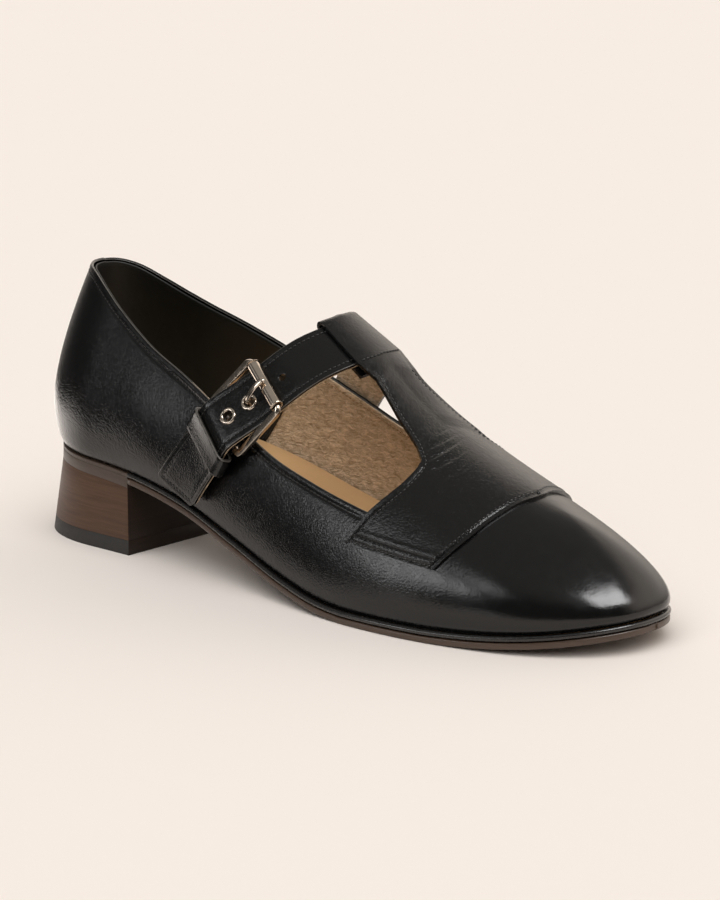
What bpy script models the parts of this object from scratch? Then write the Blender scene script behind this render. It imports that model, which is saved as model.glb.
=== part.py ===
"""T-bar shoe with a low block heel, the right shoe of a pair, standing on its sole with the strap fastened.

+X runs to the toe, +Y to the inner side (the big toe's) and +Z up from the floor. The upper, the saddle and
the strap all follow one last: last_point gives its skin above the feather edge, the line where the upper
meets the sole. Lengths are in metres; x is counted from the back of the heel before CENTRE is taken off.
"""

import math

import bmesh
import bpy
import numpy as np
from mathutils import Vector

MM = 0.001
DEGREE = math.pi / 180
CENTRE = (121.37 * MM, -1.11 * MM, 0.0)
GAP = 0.3 * MM

# sole, from the floor up
TREAD_THICK = 2.1 * MM
WELT_THICK = 1.2 * MM
SOLE_STACK = TREAD_THICK + GAP + WELT_THICK + GAP
INSOLE_RISE = 5.4 * MM
WELT_INSET = 1.9 * MM
INSOLE_INSET = 2.3 * MM
TREAD_SETBACK = 0.3 * MM
HEEL_BREAST = 52.5 * MM
HEEL_FLARE = 6.5 * MM
TOP_PIECE_THICK = 5.0 * MM

# leather and metal
UPPER_THICK = 1.7 * MM
SADDLE_THICK = 1.2 * MM
STRAP_WIDTH = 18.0 * MM
STRAP_THICK = 1.8 * MM
TAIL_SLANT = 7.0 * MM
TAB_WIDTH = 15.0 * MM
TAB_THICK = 1.0 * MM
TAB_SLOT = 3.4 * MM
KEEPER_THICK = 1.1 * MM
BAR_RADIUS = 1.1 * MM
ROLLER_RADIUS = 2.2 * MM
ROLLER_LENGTH = 18.0 * MM
FRAME_HALF_WIDTH = 10.6 * MM
PRONG_RADIUS = 0.6 * MM
EYELET_BORE = 1.6 * MM
EYELET_TUBE = 1.9 * MM
EYELET_FLANGE = 2.8 * MM
EYELET_HOLE = 2.2 * MM
SPARE_HOLE = 1.2 * MM

# distances along the strap, from the ridge of the instep down the outer side
EYELETS = {"eyelet_1": 46.3 * MM, "eyelet_2": 38.9 * MM}
SPARE_HOLE_AT = 26.6 * MM
ROLLER_AT = 31.4 * MM
PIVOT_AT = 50.9 * MM
KEEPER_FROM = 54.1 * MM
KEEPER_TO = 61.9 * MM
ROLLER_LIFT = 6.4 * MM
PIVOT_LIFT = 3.4 * MM

# number of sections along the last, and of rows up its wall
SECTIONS = 48
WALL_ROWS = 11


def table(columns, units, rows):
    """Columns of a table by name, each scaled by its unit."""
    values = np.array(rows) * np.array(units)
    return dict(zip(columns.split(), values.T))


# plan of the feather edge and height of the sole's tread at stations from heel to toe
PLAN = table("x tread lateral medial axis", (MM,) * 5, [
    (5.0, 27.6, 25.0, 25.0, 0.0),
    (30.0, 26.2, 26.0, 26.5, 0.0),
    (55.0, 23.8, 26.5, 28.2, 0.0),
    (80.0, 18.9, 28.0, 29.6, 0.0),
    (105.0, 11.5, 31.5, 31.2, 0.0),
    (130.0, 4.2, 35.5, 33.4, 0.0),
    (145.0, 1.1, 37.6, 34.8, 0.0),
    (158.0, 0.0, 38.7, 35.8, 0.1),
    (172.0, 0.0, 38.9, 36.2, 0.3),
    (188.0, 0.0, 37.7, 35.5, 0.6),
    (207.0, 0.9, 34.5, 32.6, 1.3),
    (225.0, 2.7, 30.5, 28.0, 2.0),
    (243.0, 5.6, 26.0, 22.5, 2.6),
])
# rounding of the two ends of the plan: length of the cap and exponent of its curve
HEEL_END = PLAN["x"][0]
TOE_END = PLAN["x"][-1]
HEEL_CAP = 30.0 * MM
HEEL_ROUND = 2.15
TOE_CAP = 42.0 * MM
TOE_ROUND = 2.5
FLAT_FROM = 158.0 * MM
FLAT_TO = 188.0 * MM

# ridge of the last: it faces the whole feather edge, so that the walls fan out at heel and toe
RIDGE_HEEL = 34.0 * MM
RIDGE_TOE = 210.0 * MM
CREST = table("x z", (MM, MM), [
    (0.0, 132.0),
    (35.0, 127.0),
    (70.0, 111.0),
    (100.0, 93.5),
    (125.0, 78.3),
    (150.0, 63.0),
    (175.0, 50.4),
    (200.0, 40.2),
    (220.0, 33.6),
    (235.0, 29.2),
    (247.0, 25.5),
])
# shape of the wall: exponents of its run and rise, and the swelling above the feather edge
WALL = table("x fold lift bulge peak", (MM, 1, 1, MM, DEGREE), [
    (5.0, 1.95, 1.00, 3.9, 11.0),
    (30.0, 2.20, 1.00, 3.5, 13.0),
    (60.0, 1.70, 1.00, 3.0, 15.0),
    (100.0, 1.05, 0.98, 2.0, 16.0),
    (140.0, 0.95, 0.95, 1.2, 16.0),
    (180.0, 0.95, 0.92, 0.8, 16.0),
    (215.0, 0.95, 0.92, 1.2, 16.0),
    (243.0, 0.95, 0.92, 1.6, 16.0),
])
# top line of the quarters, seen from the side, on the outer and the inner wall
TOPLINE = table("x outer inner", (MM, MM, MM), [
    (8.0, 92.3, 92.3),
    (15.0, 92.3, 92.0),
    (20.0, 91.8, 89.8),
    (27.0, 90.0, 85.3),
    (35.0, 86.0, 81.0),
    (43.0, 81.0, 77.8),
    (61.0, 70.9, 71.6),
    (76.0, 64.6, 66.0),
    (90.0, 58.4, 59.8),
    (108.0, 51.0, 52.2),
    (123.0, 44.9, 45.8),
    (141.0, 39.8, 40.2),
    (170.0, 33.0, 33.3),
])
# throat of the vamp, under the saddle: from the top line up to the ridge
THROAT = table("x turn", (MM, DEGREE), [
    (165.0, 0.0),
    (170.0, 38.0),
    (175.0, 46.0),
    (181.0, 60.0),
    (186.0, 78.0),
    (189.0, 90.0),
])
# how far the welt stands out beyond the feather edge
EDGE = table("x out", (MM, MM), [
    (5.0, 0.5),
    (55.0, 0.7),
    (100.0, 1.1),
    (150.0, 1.6),
    (243.0, 1.3),
])
# middle line of the strap, as station on the ridge and distance from the ridge (outer side negative)
STRAP_PATH = table("ridge across", (MM, MM), [
    (100.0, 65.6),
    (107.0, 48.0),
    (113.0, 36.0),
    (120.0, 22.0),
    (126.0, 9.0),
    (128.8, 0.0),
    (127.2, -9.0),
    (122.4, -20.0),
    (114.9, -36.0),
    (107.5, -50.0),
    (99.6, -65.0),
    (88.6, -85.6),
])
# height of the strap's underside above the last, along the strap
STRAP_LIFT = table("along lift", (MM, MM), [
    (-70.0, 0.6),
    (-50.0, 0.7),
    (-30.0, 1.4),
    (-10.0, 2.2),
    (10.0, 2.2),
    (21.7, 1.9),
    (30.5, 2.0),
    (38.9, 3.2),
    (46.7, 5.4),
    (50.9, 6.4),
    (53.7, 5.8),
    (57.7, 4.3),
    (61.7, 3.4),
    (73.7, 2.4),
    (85.7, 2.1),
])
# the folded tab that holds the buckle: height of the underside of its upper leaf
TAB_LIFT = table("along lift", (MM, MM), [
    (50.9, 4.8),
    (53.7, 4.3),
    (57.7, 2.9),
    (61.7, 2.1),
    (67.7, 0.9),
    (75.7, 0.6),
])
TAB_FOLD = 1.4 * MM
TAB_RETURN = 54.7 * MM
# prong, from its eye around the bar to its tip on the roller
PRONG_EYE = BAR_RADIUS + 0.25 * MM + PRONG_RADIUS
PRONG = table("along lift", (MM, MM), [
    (46.7, 4.1),
    (43.6, 2.9),
    (41.1, 2.2),
    (39.9, 2.5),
    (38.6, 5.9),
    (37.4, 7.1),
    (34.0, 8.9),
    (31.4, 9.55),
    (29.9, 9.4),
])
# loop of the T-bar around the strap: leaf under the strap, fold behind it, leaf on top
LOOP_HALF_WIDTH = 8.4 * MM
LOOP_UNDER = 1.9 * MM
LOOP_OVER = 4.3 * MM
LOOP_BACK = -9.2 * MM
LOOP_FRONT = 9.8 * MM
LOOP_END = 12.6 * MM
# T-bar from the loop down to the saddle: station, half width, height of its underside above the last
T_BAR = table("ridge half lift", (MM, MM, MM), [
    (141.5, 9.0, 3.9),
    (145.0, 9.8, 2.9),
    (149.0, 11.4, 2.1),
    (153.0, 13.4, 1.4),
    (157.0, 15.2, 0.9),
    (160.4, 17.2, 0.6),
])
# edges of the saddle, by share of the way from the ridge (0) to the lower edge of its wing (1)
SADDLE_REAR = table("share ridge across", (1, MM, MM), [
    (0.0, 164.0, 0.0),
    (0.33, 162.9, 20.0),
    (0.40, 162.5, 23.6),
    (0.46, 161.4, 27.2),
    (0.80, 151.7, 47.3),
    (1.0, 147.0, 58.0),
])
SADDLE_FRONT = table("share ridge across", (1, MM, MM), [
    (0.0, 202.2, 0.0),
    (0.1, 198.6, 5.0),
    (0.2, 194.8, 10.0),
    (0.45, 186.7, 23.5),
    (0.68, 180.0, 35.9),
    (0.88, 174.8, 45.4),
    (1.0, 172.0, 50.8),
])
MEDIAL_REACH = 0.92
SADDLE_LIFT = GAP
BAR_COLUMNS = 4
WING_COLUMNS = 8
SADDLE_ROWS = 11


def smooth(x, xs, ys):
    """Cubic through the points (xs, ys), with slopes from the neighbours, read at x."""
    x = np.clip(x, xs[0], xs[-1])
    slopes = np.gradient(ys, xs)
    i = np.clip(np.searchsorted(xs, x) - 1, 0, len(xs) - 2)
    span = xs[i + 1] - xs[i]
    t = (x - xs[i]) / span
    start = (2 * t**3 - 3 * t**2 + 1) * ys[i] + (t**3 - 2 * t**2 + t) * span * slopes[i]
    end = (3 * t**2 - 2 * t**3) * ys[i + 1] + (t**3 - t**2) * span * slopes[i + 1]
    return start + end


def read(rows, column, x, key="x"):
    return smooth(np.asarray(x, float), rows[key], rows[column])


def tread_height(x):
    """Underside of the outsole: flat on the floor under the ball of the foot."""
    flat = (x >= FLAT_FROM) & (x <= FLAT_TO)
    return np.where(flat, 0.0, np.maximum(read(PLAN, "tread", x), 0.0))


def feather_height(x):
    return tread_height(x) + SOLE_STACK


def foot(turn):
    """Plan point of the feather edge: turn runs 0 to 1 from heel to toe outside, 1 to 2 back inside."""
    turn = np.mod(np.asarray(turn, float), 2.0)
    outer = turn <= 1.0
    x = HEEL_END + (TOE_END - HEEL_END) * (1 - np.cos(np.pi * turn)) / 2
    heel = np.clip((HEEL_END + HEEL_CAP - x) / HEEL_CAP, 0, 1)
    toe = np.clip((x - TOE_END + TOE_CAP) / TOE_CAP, 0, 1)
    share = (1 - heel**HEEL_ROUND) ** (1 / HEEL_ROUND) * (1 - toe**TOE_ROUND) ** (1 / TOE_ROUND)
    half = np.where(outer, -read(PLAN, "lateral", x), read(PLAN, "medial", x))
    return np.stack([x, read(PLAN, "axis", x) + half * share], -1)


def foot_out(turn, step=1e-3):
    """Outward direction of the feather edge in plan."""
    along = foot(turn + step) - foot(turn - step)
    out = np.stack([along[..., 1], -along[..., 0]], -1)
    return out / np.linalg.norm(out, axis=-1, keepdims=True)


def crest(x):
    return read(CREST, "z", x)


def last_point(turn, rise):
    """Point of the last above foot(turn), rise (0 to a right angle) up its wall towards the ridge."""
    base = foot(turn)
    x = base[..., 0]
    share = (x - HEEL_END) / (TOE_END - HEEL_END)
    ridge_x = RIDGE_HEEL + (RIDGE_TOE - RIDGE_HEEL) * share
    ridge = np.stack([ridge_x, read(PLAN, "axis", ridge_x)], -1)
    run = 1 - np.maximum(np.cos(rise), 0) ** read(WALL, "fold", x)
    swell = rise / read(WALL, "peak", x)
    swell = read(WALL, "bulge", x) * swell * np.exp(1 - swell) * np.cos(rise)
    flat = base + run[..., None] * (ridge - base) + swell[..., None] * foot_out(turn)
    low = feather_height(x)
    z = low + (crest(flat[..., 0]) - low) * np.sin(rise) ** read(WALL, "lift", x)
    return np.concatenate([flat, z[..., None]], -1)


def chart_turn(ridge_x, across):
    """Turn of the wall that meets the ridge at ridge_x, on the side of the sign of across."""
    share = np.clip((ridge_x - RIDGE_HEEL) / (RIDGE_TOE - RIDGE_HEEL), 0, 1)
    turn = np.arccos(1 - 2 * share) / np.pi
    return np.where(across < 0, turn, 2 - turn)


def chart_point(ridge_x, across, samples=60):
    """Point of the last at a station of the ridge and a distance down the wall from it."""
    ridge_x = np.asarray(ridge_x, float)
    across = np.asarray(across, float)
    turn = chart_turn(ridge_x, across)
    rises = np.linspace(np.pi / 2, 0, samples)
    walls = np.repeat(turn[..., None], samples, -1)
    lines = last_point(walls, np.broadcast_to(rises, walls.shape))
    steps = np.linalg.norm(np.diff(lines, axis=-2), axis=-1)
    runs = np.concatenate([np.zeros(turn.shape + (1,)), np.cumsum(steps, -1)], -1)
    rise = np.empty(turn.shape)
    for i in np.ndindex(turn.shape):
        rise[i] = np.interp(abs(across[i]), runs[i], rises)
    return last_point(turn, rise)


def chart_normal(ridge_x, across, step=0.4 * MM):
    along = chart_point(ridge_x + step, across) - chart_point(ridge_x - step, across)
    over = chart_point(ridge_x, across + step) - chart_point(ridge_x, across - step)
    normal = np.cross(along, over)
    return normal / np.linalg.norm(normal, axis=-1, keepdims=True)


def chart_lifted(ridge_x, across, lift):
    lift = np.broadcast_to(lift, np.shape(ridge_x))
    return chart_point(ridge_x, across) + lift[..., None] * chart_normal(ridge_x, across)


# length over which the strap's turn on the ridge is spread
STRAP_SOFT = 8.0 * MM


def strap_line():
    """Middle line of the strap on the last: distance along it from the ridge, and its frame."""
    rows = len(STRAP_PATH["ridge"])
    t = np.linspace(0, rows - 1, 12 * rows)
    ridge_x = smooth(t, np.arange(rows), STRAP_PATH["ridge"])
    across = smooth(t, np.arange(rows), STRAP_PATH["across"])
    points = chart_point(ridge_x, across)
    normal = chart_normal(ridge_x, across)
    along = np.concatenate([[0], np.cumsum(np.linalg.norm(np.diff(points, axis=0), axis=1))])
    along = along - np.interp(0.0, -across, along)
    near = np.exp(-((along[:, None] - along) / STRAP_SOFT) ** 2)
    ahead = near @ np.gradient(points, along, axis=0)
    ahead = ahead / np.linalg.norm(ahead, axis=1, keepdims=True)
    normal = near @ normal
    normal = normal - np.sum(normal * ahead, 1, keepdims=True) * ahead
    normal = normal / np.linalg.norm(normal, axis=1, keepdims=True)
    return along, points, ahead, normal, np.cross(normal, ahead)


STRAP = strap_line()
STRAP_FROM = STRAP[0][0]
STRAP_TO = STRAP[0][-1]


def strap_frame(along):
    """Point, direction, normal and side direction of the strap's middle line."""
    rows = [np.stack([np.interp(along, STRAP[0], line[:, k]) for k in range(3)], -1) for line in STRAP[1:]]
    return rows


def strap_point(along, side, lift):
    """Point beside and above the strap's middle line: side is positive towards the toe."""
    along, side, lift = np.broadcast_arrays(*(np.asarray(v, float) for v in (along, side, lift)))
    point, _, normal, across = strap_frame(along)
    return point + side[..., None] * across + lift[..., None] * normal


def strap_lift(along):
    return read(STRAP_LIFT, "lift", along, "along")


def tab_lift(along):
    return read(TAB_LIFT, "lift", along, "along")


def clear():
    for thing in list(bpy.data.objects):
        bpy.data.objects.remove(thing, do_unlink=True)


def collection(name):
    made = bpy.data.collections.new(name)
    bpy.context.scene.collection.children.link(made)
    return made


def material(name, colour, roughness, metallic=0.0):
    made = bpy.data.materials.new(name)
    made.use_nodes = True
    shader = made.node_tree.nodes["Principled BSDF"]
    shader.inputs["Base Color"].default_value = (*colour, 1.0)
    shader.inputs["Roughness"].default_value = roughness
    shader.inputs["Metallic"].default_value = metallic
    return made


def mesh_object(name, points, faces, skin, holder=None, merge=True):
    """Object from points and faces, with shared points merged and normals facing out."""
    mesh = bpy.data.meshes.new(name)
    placed = np.asarray(points, float).reshape(-1, 3) - np.array(CENTRE)
    mesh.from_pydata([tuple(p) for p in placed], [], faces)
    if merge:
        work = bmesh.new()
        work.from_mesh(mesh)
        bmesh.ops.remove_doubles(work, verts=work.verts, dist=0.002 * MM)
        bmesh.ops.dissolve_degenerate(work, edges=work.edges, dist=0.002 * MM)
        work.to_mesh(mesh)
        work.free()
    made = bpy.data.objects.new(name, mesh)
    made.data.materials.append(skin)
    (holder or PARTS).objects.link(made)
    return made


def face_out(made):
    work = bmesh.new()
    work.from_mesh(made.data)
    bmesh.ops.recalc_face_normals(work, faces=work.faces)
    work.to_mesh(made.data)
    work.free()


def grid_faces(rows, columns, keep=None, start=0):
    """Faces of a grid of points, row by row; keep(row, column) can leave some out."""
    faces = []
    for i in range(rows - 1):
        for j in range(columns - 1):
            if keep is None or keep(i, j):
                a = start + i * columns + j
                faces.append((a, a + columns, a + columns + 1, a + 1))
    return faces


def sheet(name, points, faces, thick, skin, offset=1.0):
    """Open surface given a real thickness."""
    made = mesh_object(name, points, faces, skin)
    shell = made.modifiers.new("thickness", "SOLIDIFY")
    shell.thickness = thick
    shell.offset = offset
    shell.use_even_offset = True
    shell.use_quality_normals = True
    return made


def ring(name, loops, skin):
    """Closed ring through a closed series of closed loops of points."""
    count = len(loops[0])
    faces = []
    for i in range(len(loops)):
        for j in range(count):
            a = i * count
            b = (i + 1) % len(loops) * count
            k = (j + 1) % count
            faces.append((a + j, b + j, b + k, a + k))
    made = mesh_object(name, np.concatenate(loops), faces, skin, merge=False)
    face_out(made)
    return made


def slab(name, low_outer, low_inner, high_inner, high_outer, skin):
    """Solid between four lines of points that run from heel to toe."""
    count = len(low_outer)
    lines = [low_outer, low_inner, high_inner, high_outer]
    faces = [(0, count, 2 * count, 3 * count), tuple(k * count + count - 1 for k in (3, 2, 1, 0))]
    for side in range(4):
        other = (side + 1) % 4
        for k in range(count - 1):
            a = side * count + k
            b = other * count + k
            faces.append((a, a + 1, b + 1, b))
    made = mesh_object(name, np.concatenate(lines), faces, skin, merge=False)
    face_out(made)
    return made


def edge_line(turn, out, height):
    """Line along the feather edge, moved out in plan, with a height for each x."""
    flat = foot(turn) + np.asarray(out)[..., None] * foot_out(turn)
    return np.concatenate([flat, height(flat[..., 0])[..., None]], -1)


def sole_pair(share, out, height):
    """Outer and inner line of a layer of the sole at shares of the way from heel to toe."""
    return edge_line(share, out, height), edge_line(2 - share, out, height)


def welt_out(turn):
    return read(EDGE, "out", foot(turn)[..., 0])


def rim_rise(turn):
    """Rise at which the wall above foot(turn) ends: at the top line, in the throat or on the ridge."""
    low = np.zeros(np.shape(turn))
    high = np.full(np.shape(turn), np.pi / 2)
    for _ in range(40):
        middle = (low + high) / 2
        point = last_point(turn, middle)
        x = point[..., 0]
        top = np.where(turn <= 1, read(TOPLINE, "outer", x), read(TOPLINE, "inner", x))
        under = point[..., 2] < top
        low = np.where(under, middle, low)
        high = np.where(under, high, middle)
    throat = np.interp(foot(turn)[..., 0], THROAT["x"], THROAT["turn"])
    return np.maximum(low, throat)


def build_upper():
    turns = np.arange(2 * SECTIONS) / SECTIONS
    shares = np.linspace(0, 1, WALL_ROWS)
    rises = rim_rise(turns)[:, None] * shares
    points = last_point(np.repeat(turns[:, None], WALL_ROWS, 1), rises)
    points = np.concatenate([points, points[:1]])
    faces = grid_faces(2 * SECTIONS + 1, WALL_ROWS)
    made = sheet("upper", points, faces, UPPER_THICK, BLACK_LEATHER, offset=-1.0)
    return made


def build_sole():
    share = np.linspace(0.016, 0.984, 64)
    out = welt_out(share) - TREAD_SETBACK
    low = sole_pair(share, out, tread_height)
    high = sole_pair(share, out, lambda x: tread_height(x) + TREAD_THICK)
    slab("outsole", low[0], low[1], high[1], high[0], BROWN_SOLE)
    turns = np.arange(2 * SECTIONS) / SECTIONS
    top = -GAP
    bottom = top - WELT_THICK
    outer = welt_out(turns)
    inner = np.full(turns.shape, -WELT_INSET)
    loops = []
    for out, level in ((outer, bottom), (outer, top), (inner, top), (inner, bottom)):
        loops.append(edge_line(turns, out, lambda x: feather_height(x) + level))
    ring("welt", loops, BLACK_EDGE)
    inset = np.full(share.shape, -INSOLE_INSET)
    low = sole_pair(share, inset, lambda x: feather_height(x) - WELT_THICK - GAP)
    high = sole_pair(share, inset, lambda x: feather_height(x) + INSOLE_RISE)
    slab("insole", low[0], low[1], high[1], high[0], TAN_LEATHER)


def heel_lines(share, down, height):
    """Outer and inner line of the heel, flared back by the share down of its height."""
    lines = []
    for line in sole_pair(share, welt_out(share) - TREAD_SETBACK, tread_height):
        back = (HEEL_BREAST - line[:, 0]) / (HEEL_BREAST - HEEL_END)
        line[:, 0] = line[:, 0] - HEEL_FLARE * down * back
        line[:, 2] = height(line[:, 0])
        lines.append(line)
    return lines


def build_heel():
    breast = math.acos(1 - 2 * (HEEL_BREAST - HEEL_END) / (TOE_END - HEEL_END)) / math.pi
    share = np.linspace(0.016, breast, 22)
    split = TOP_PIECE_THICK / tread_height(np.array(HEEL_END))
    high = heel_lines(share, 0.0, lambda x: tread_height(x) - GAP)
    middle = heel_lines(share, 1 - split, lambda x: np.full(x.shape, TOP_PIECE_THICK + GAP))
    slab("heel", middle[0], middle[1], high[1], high[0], BROWN_WOOD)
    high = heel_lines(share, 1 - split, lambda x: np.full(x.shape, TOP_PIECE_THICK))
    low = heel_lines(share, 1.0, lambda x: np.zeros(x.shape))
    slab("heel_top_piece", low[0], low[1], high[1], high[0], BLACK_RUBBER)


def saddle_edge(rows, share, side):
    across = read(rows, "across", share, "share") * np.where(side < 0, 1.0, MEDIAL_REACH)
    return read(rows, "ridge", share, "share"), across * np.where(side < 0, -1.0, 1.0)


def build_saddle():
    """Loop, T-bar and saddle in one sheet: narrow rows for the bar, wide rows for the saddle."""
    bar = np.arange(-BAR_COLUMNS, BAR_COLUMNS + 1)
    rows = []
    middle = (LOOP_OVER + LOOP_UNDER) / 2
    turn = (LOOP_OVER - LOOP_UNDER) / 2
    path = [(side, LOOP_UNDER) for side in np.linspace(LOOP_END, LOOP_BACK, 7)]
    for angle in np.linspace(-60, 60, 5) * DEGREE:
        path.append((LOOP_BACK - turn * math.cos(angle), middle + turn * math.sin(angle)))
    path += [(side, LOOP_OVER) for side in np.linspace(LOOP_BACK, LOOP_FRONT, 6)]
    for side, lift in path:
        rows.append(strap_point(-LOOP_HALF_WIDTH * bar / BAR_COLUMNS, side, lift))
    for ridge_x, half, lift in zip(T_BAR["ridge"], T_BAR["half"], T_BAR["lift"]):
        across = half * bar / BAR_COLUMNS
        across = across * np.where(bar < 0, 1.0, MEDIAL_REACH)
        rows.append(chart_lifted(np.full(bar.shape, ridge_x), across, lift))
    points = np.concatenate(rows)
    faces = grid_faces(len(rows), len(bar))
    wide = np.arange(-BAR_COLUMNS - WING_COLUMNS, BAR_COLUMNS + WING_COLUMNS + 1)
    share = np.abs(wide) / wide[-1]
    rear = saddle_edge(SADDLE_REAR, share, wide)
    front = saddle_edge(SADDLE_FRONT, share, wide)
    saddle = []
    for t in np.linspace(0, 1, SADDLE_ROWS):
        ridge_x = (1 - t) * rear[0] + t * front[0]
        across = (1 - t) * rear[1] + t * front[1]
        saddle.append(chart_lifted(ridge_x, across, SADDLE_LIFT))
    start = len(points)
    last_row = start - len(bar)
    for j in range(len(bar) - 1):
        below = start + WING_COLUMNS + j
        faces.append((last_row + j, below, below + 1, last_row + j + 1))
    faces += grid_faces(SADDLE_ROWS, len(wide), start=start)
    points = np.concatenate([points] + saddle)
    return sheet("t_bar_saddle", points, faces, SADDLE_THICK, BLACK_LEATHER)


def build_strap():
    side = np.linspace(-0.5, 0.5, 5) * STRAP_WIDTH
    share = np.linspace(0, 1, 46)
    end = STRAP_TO - TAIL_SLANT * (side / STRAP_WIDTH + 0.5)
    along = STRAP_FROM + (end - STRAP_FROM)[None, :] * share[:, None]
    points = strap_point(along, side[None, :], strap_lift(along)).reshape(-1, 3)
    made = sheet("strap", points, grid_faces(len(share), len(side)), STRAP_THICK, BLACK_LEATHER)
    holes = {name: (place, EYELET_HOLE) for name, place in EYELETS.items()}
    holes["spare_hole"] = (SPARE_HOLE_AT, SPARE_HOLE)
    for name, (place, radius) in holes.items():
        cut = made.modifiers.new("cut for " + name, "BOOLEAN")
        cut.operation = "DIFFERENCE"
        cut.solver = "EXACT"
        cut.object = build_drill("drill_" + name, place, radius)
    return made


def eyelet_frame(place):
    """Middle of the strap's underside at an eyelet, and directions along, out of and across it."""
    step = 1.0 * MM
    slope = (strap_lift(place + step) - strap_lift(place - step)) / (2 * step)
    _, ahead, normal, across = strap_frame(np.array(place))
    ahead = ahead + slope * normal
    ahead = ahead / np.linalg.norm(ahead)
    return strap_point(place, 0.0, strap_lift(place)), ahead, np.cross(ahead, across), across


def eyelet_loop(place, radius, height, count=16):
    origin, ahead, normal, across = eyelet_frame(place)
    angle = np.linspace(0, 2 * np.pi, count, endpoint=False)
    circle = np.cos(angle)[:, None] * ahead + np.sin(angle)[:, None] * across
    return origin + radius * circle + height * normal


def build_drill(name, place, radius):
    origin, _, normal, _ = eyelet_frame(place)
    bpy.ops.mesh.primitive_cylinder_add(vertices=16, radius=radius, depth=3 * STRAP_THICK)
    drill = bpy.context.object
    drill.name = name
    drill.location = Vector(origin + normal * STRAP_THICK / 2 - np.array(CENTRE))
    drill.rotation_euler = Vector(normal).to_track_quat("Z", "Y").to_euler()
    drill.hide_render = True
    drill.display_type = "WIRE"
    for holder in drill.users_collection:
        holder.objects.unlink(drill)
    CUTTERS.objects.link(drill)
    return drill


def build_eyelets():
    top = STRAP_THICK + 0.2 * MM
    profile = (
        (EYELET_BORE, -0.1 * MM),
        (EYELET_TUBE, -0.1 * MM),
        (EYELET_TUBE, top),
        (EYELET_FLANGE, top),
        (EYELET_FLANGE - 0.2 * MM, top + 0.35 * MM),
        ((EYELET_FLANGE + EYELET_BORE) / 2, top + 0.6 * MM),
        (EYELET_BORE, top + 0.35 * MM),
    )
    for name, place in EYELETS.items():
        ring(name, [eyelet_loop(place, radius, height) for radius, height in profile], GOLD_METAL)


def build_tab():
    """Tab folded around the buckle's bar, with a slot for the prong in the fold."""
    path = [(a, PIVOT_LIFT - TAB_FOLD) for a in np.linspace(TAB_RETURN, PIVOT_AT, 3)]
    for angle in np.linspace(-60, 60, 5) * DEGREE:
        path.append((PIVOT_AT - TAB_FOLD * math.cos(angle), PIVOT_LIFT + TAB_FOLD * math.sin(angle)))
    path += [(a, float(tab_lift(a))) for a in np.linspace(PIVOT_AT, TAB_LIFT["along"][-1], 12)]
    half = TAB_WIDTH / 2
    sides = np.array([-half, -half / 2, -TAB_SLOT / 2, TAB_SLOT / 2, half / 2, half])
    along, lift = np.array(path).T
    points = strap_point(along[:, None], sides[None, :], lift[:, None])
    slot = range(10)
    faces = grid_faces(len(path), len(sides), keep=lambda i, j: not (i in slot and j == 2))
    return sheet("buckle_tab", points.reshape(-1, 3), faces, TAB_THICK, BLACK_LEATHER)


def rounded_loop(half_width, low, high, radius):
    """Side and height of points around a rectangle with rounded corners."""
    points = []
    wide = half_width
    corners = ((wide, high, 0), (-wide, high, 90), (-wide, low, 180), (wide, low, 270))
    for side, height, start in corners:
        middle = (side - math.copysign(radius, side), height + (radius if height == low else -radius))
        for angle in (start, start + 45, start + 90):
            turn = angle * DEGREE
            points.append((middle[0] + radius * math.cos(turn), middle[1] + radius * math.sin(turn)))
    return np.array(points)


def build_keeper():
    stations = np.linspace(KEEPER_FROM, KEEPER_TO, 4)
    loops = []
    for grow in (0.0, KEEPER_THICK):
        made = []
        for along in stations:
            low = float(tab_lift(along)) - GAP - grow
            high = float(strap_lift(along)) + STRAP_THICK + GAP + grow
            outline = rounded_loop(STRAP_WIDTH / 2 + GAP + grow, low, high, 0.5 * MM + grow)
            made.append(strap_point(along, outline[:, 0], outline[:, 1]))
        loops += made if grow == 0.0 else made[::-1]
    return ring("keeper", loops, BLACK_LEATHER)


def wire(name, points, radius, skin, cyclic):
    """Round bar along a line of points."""
    curve = bpy.data.curves.new(name, "CURVE")
    curve.dimensions = "3D"
    curve.bevel_depth = radius
    curve.bevel_resolution = 2
    curve.use_fill_caps = not cyclic
    line = curve.splines.new("POLY")
    line.points.add(len(points) - 1)
    for point, place in zip(line.points, np.asarray(points) - np.array(CENTRE)):
        point.co = (*place, 1.0)
    line.use_cyclic_u = cyclic
    made = bpy.data.objects.new(name, curve)
    curve.materials.append(skin)
    PARTS.objects.link(made)
    return made


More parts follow.
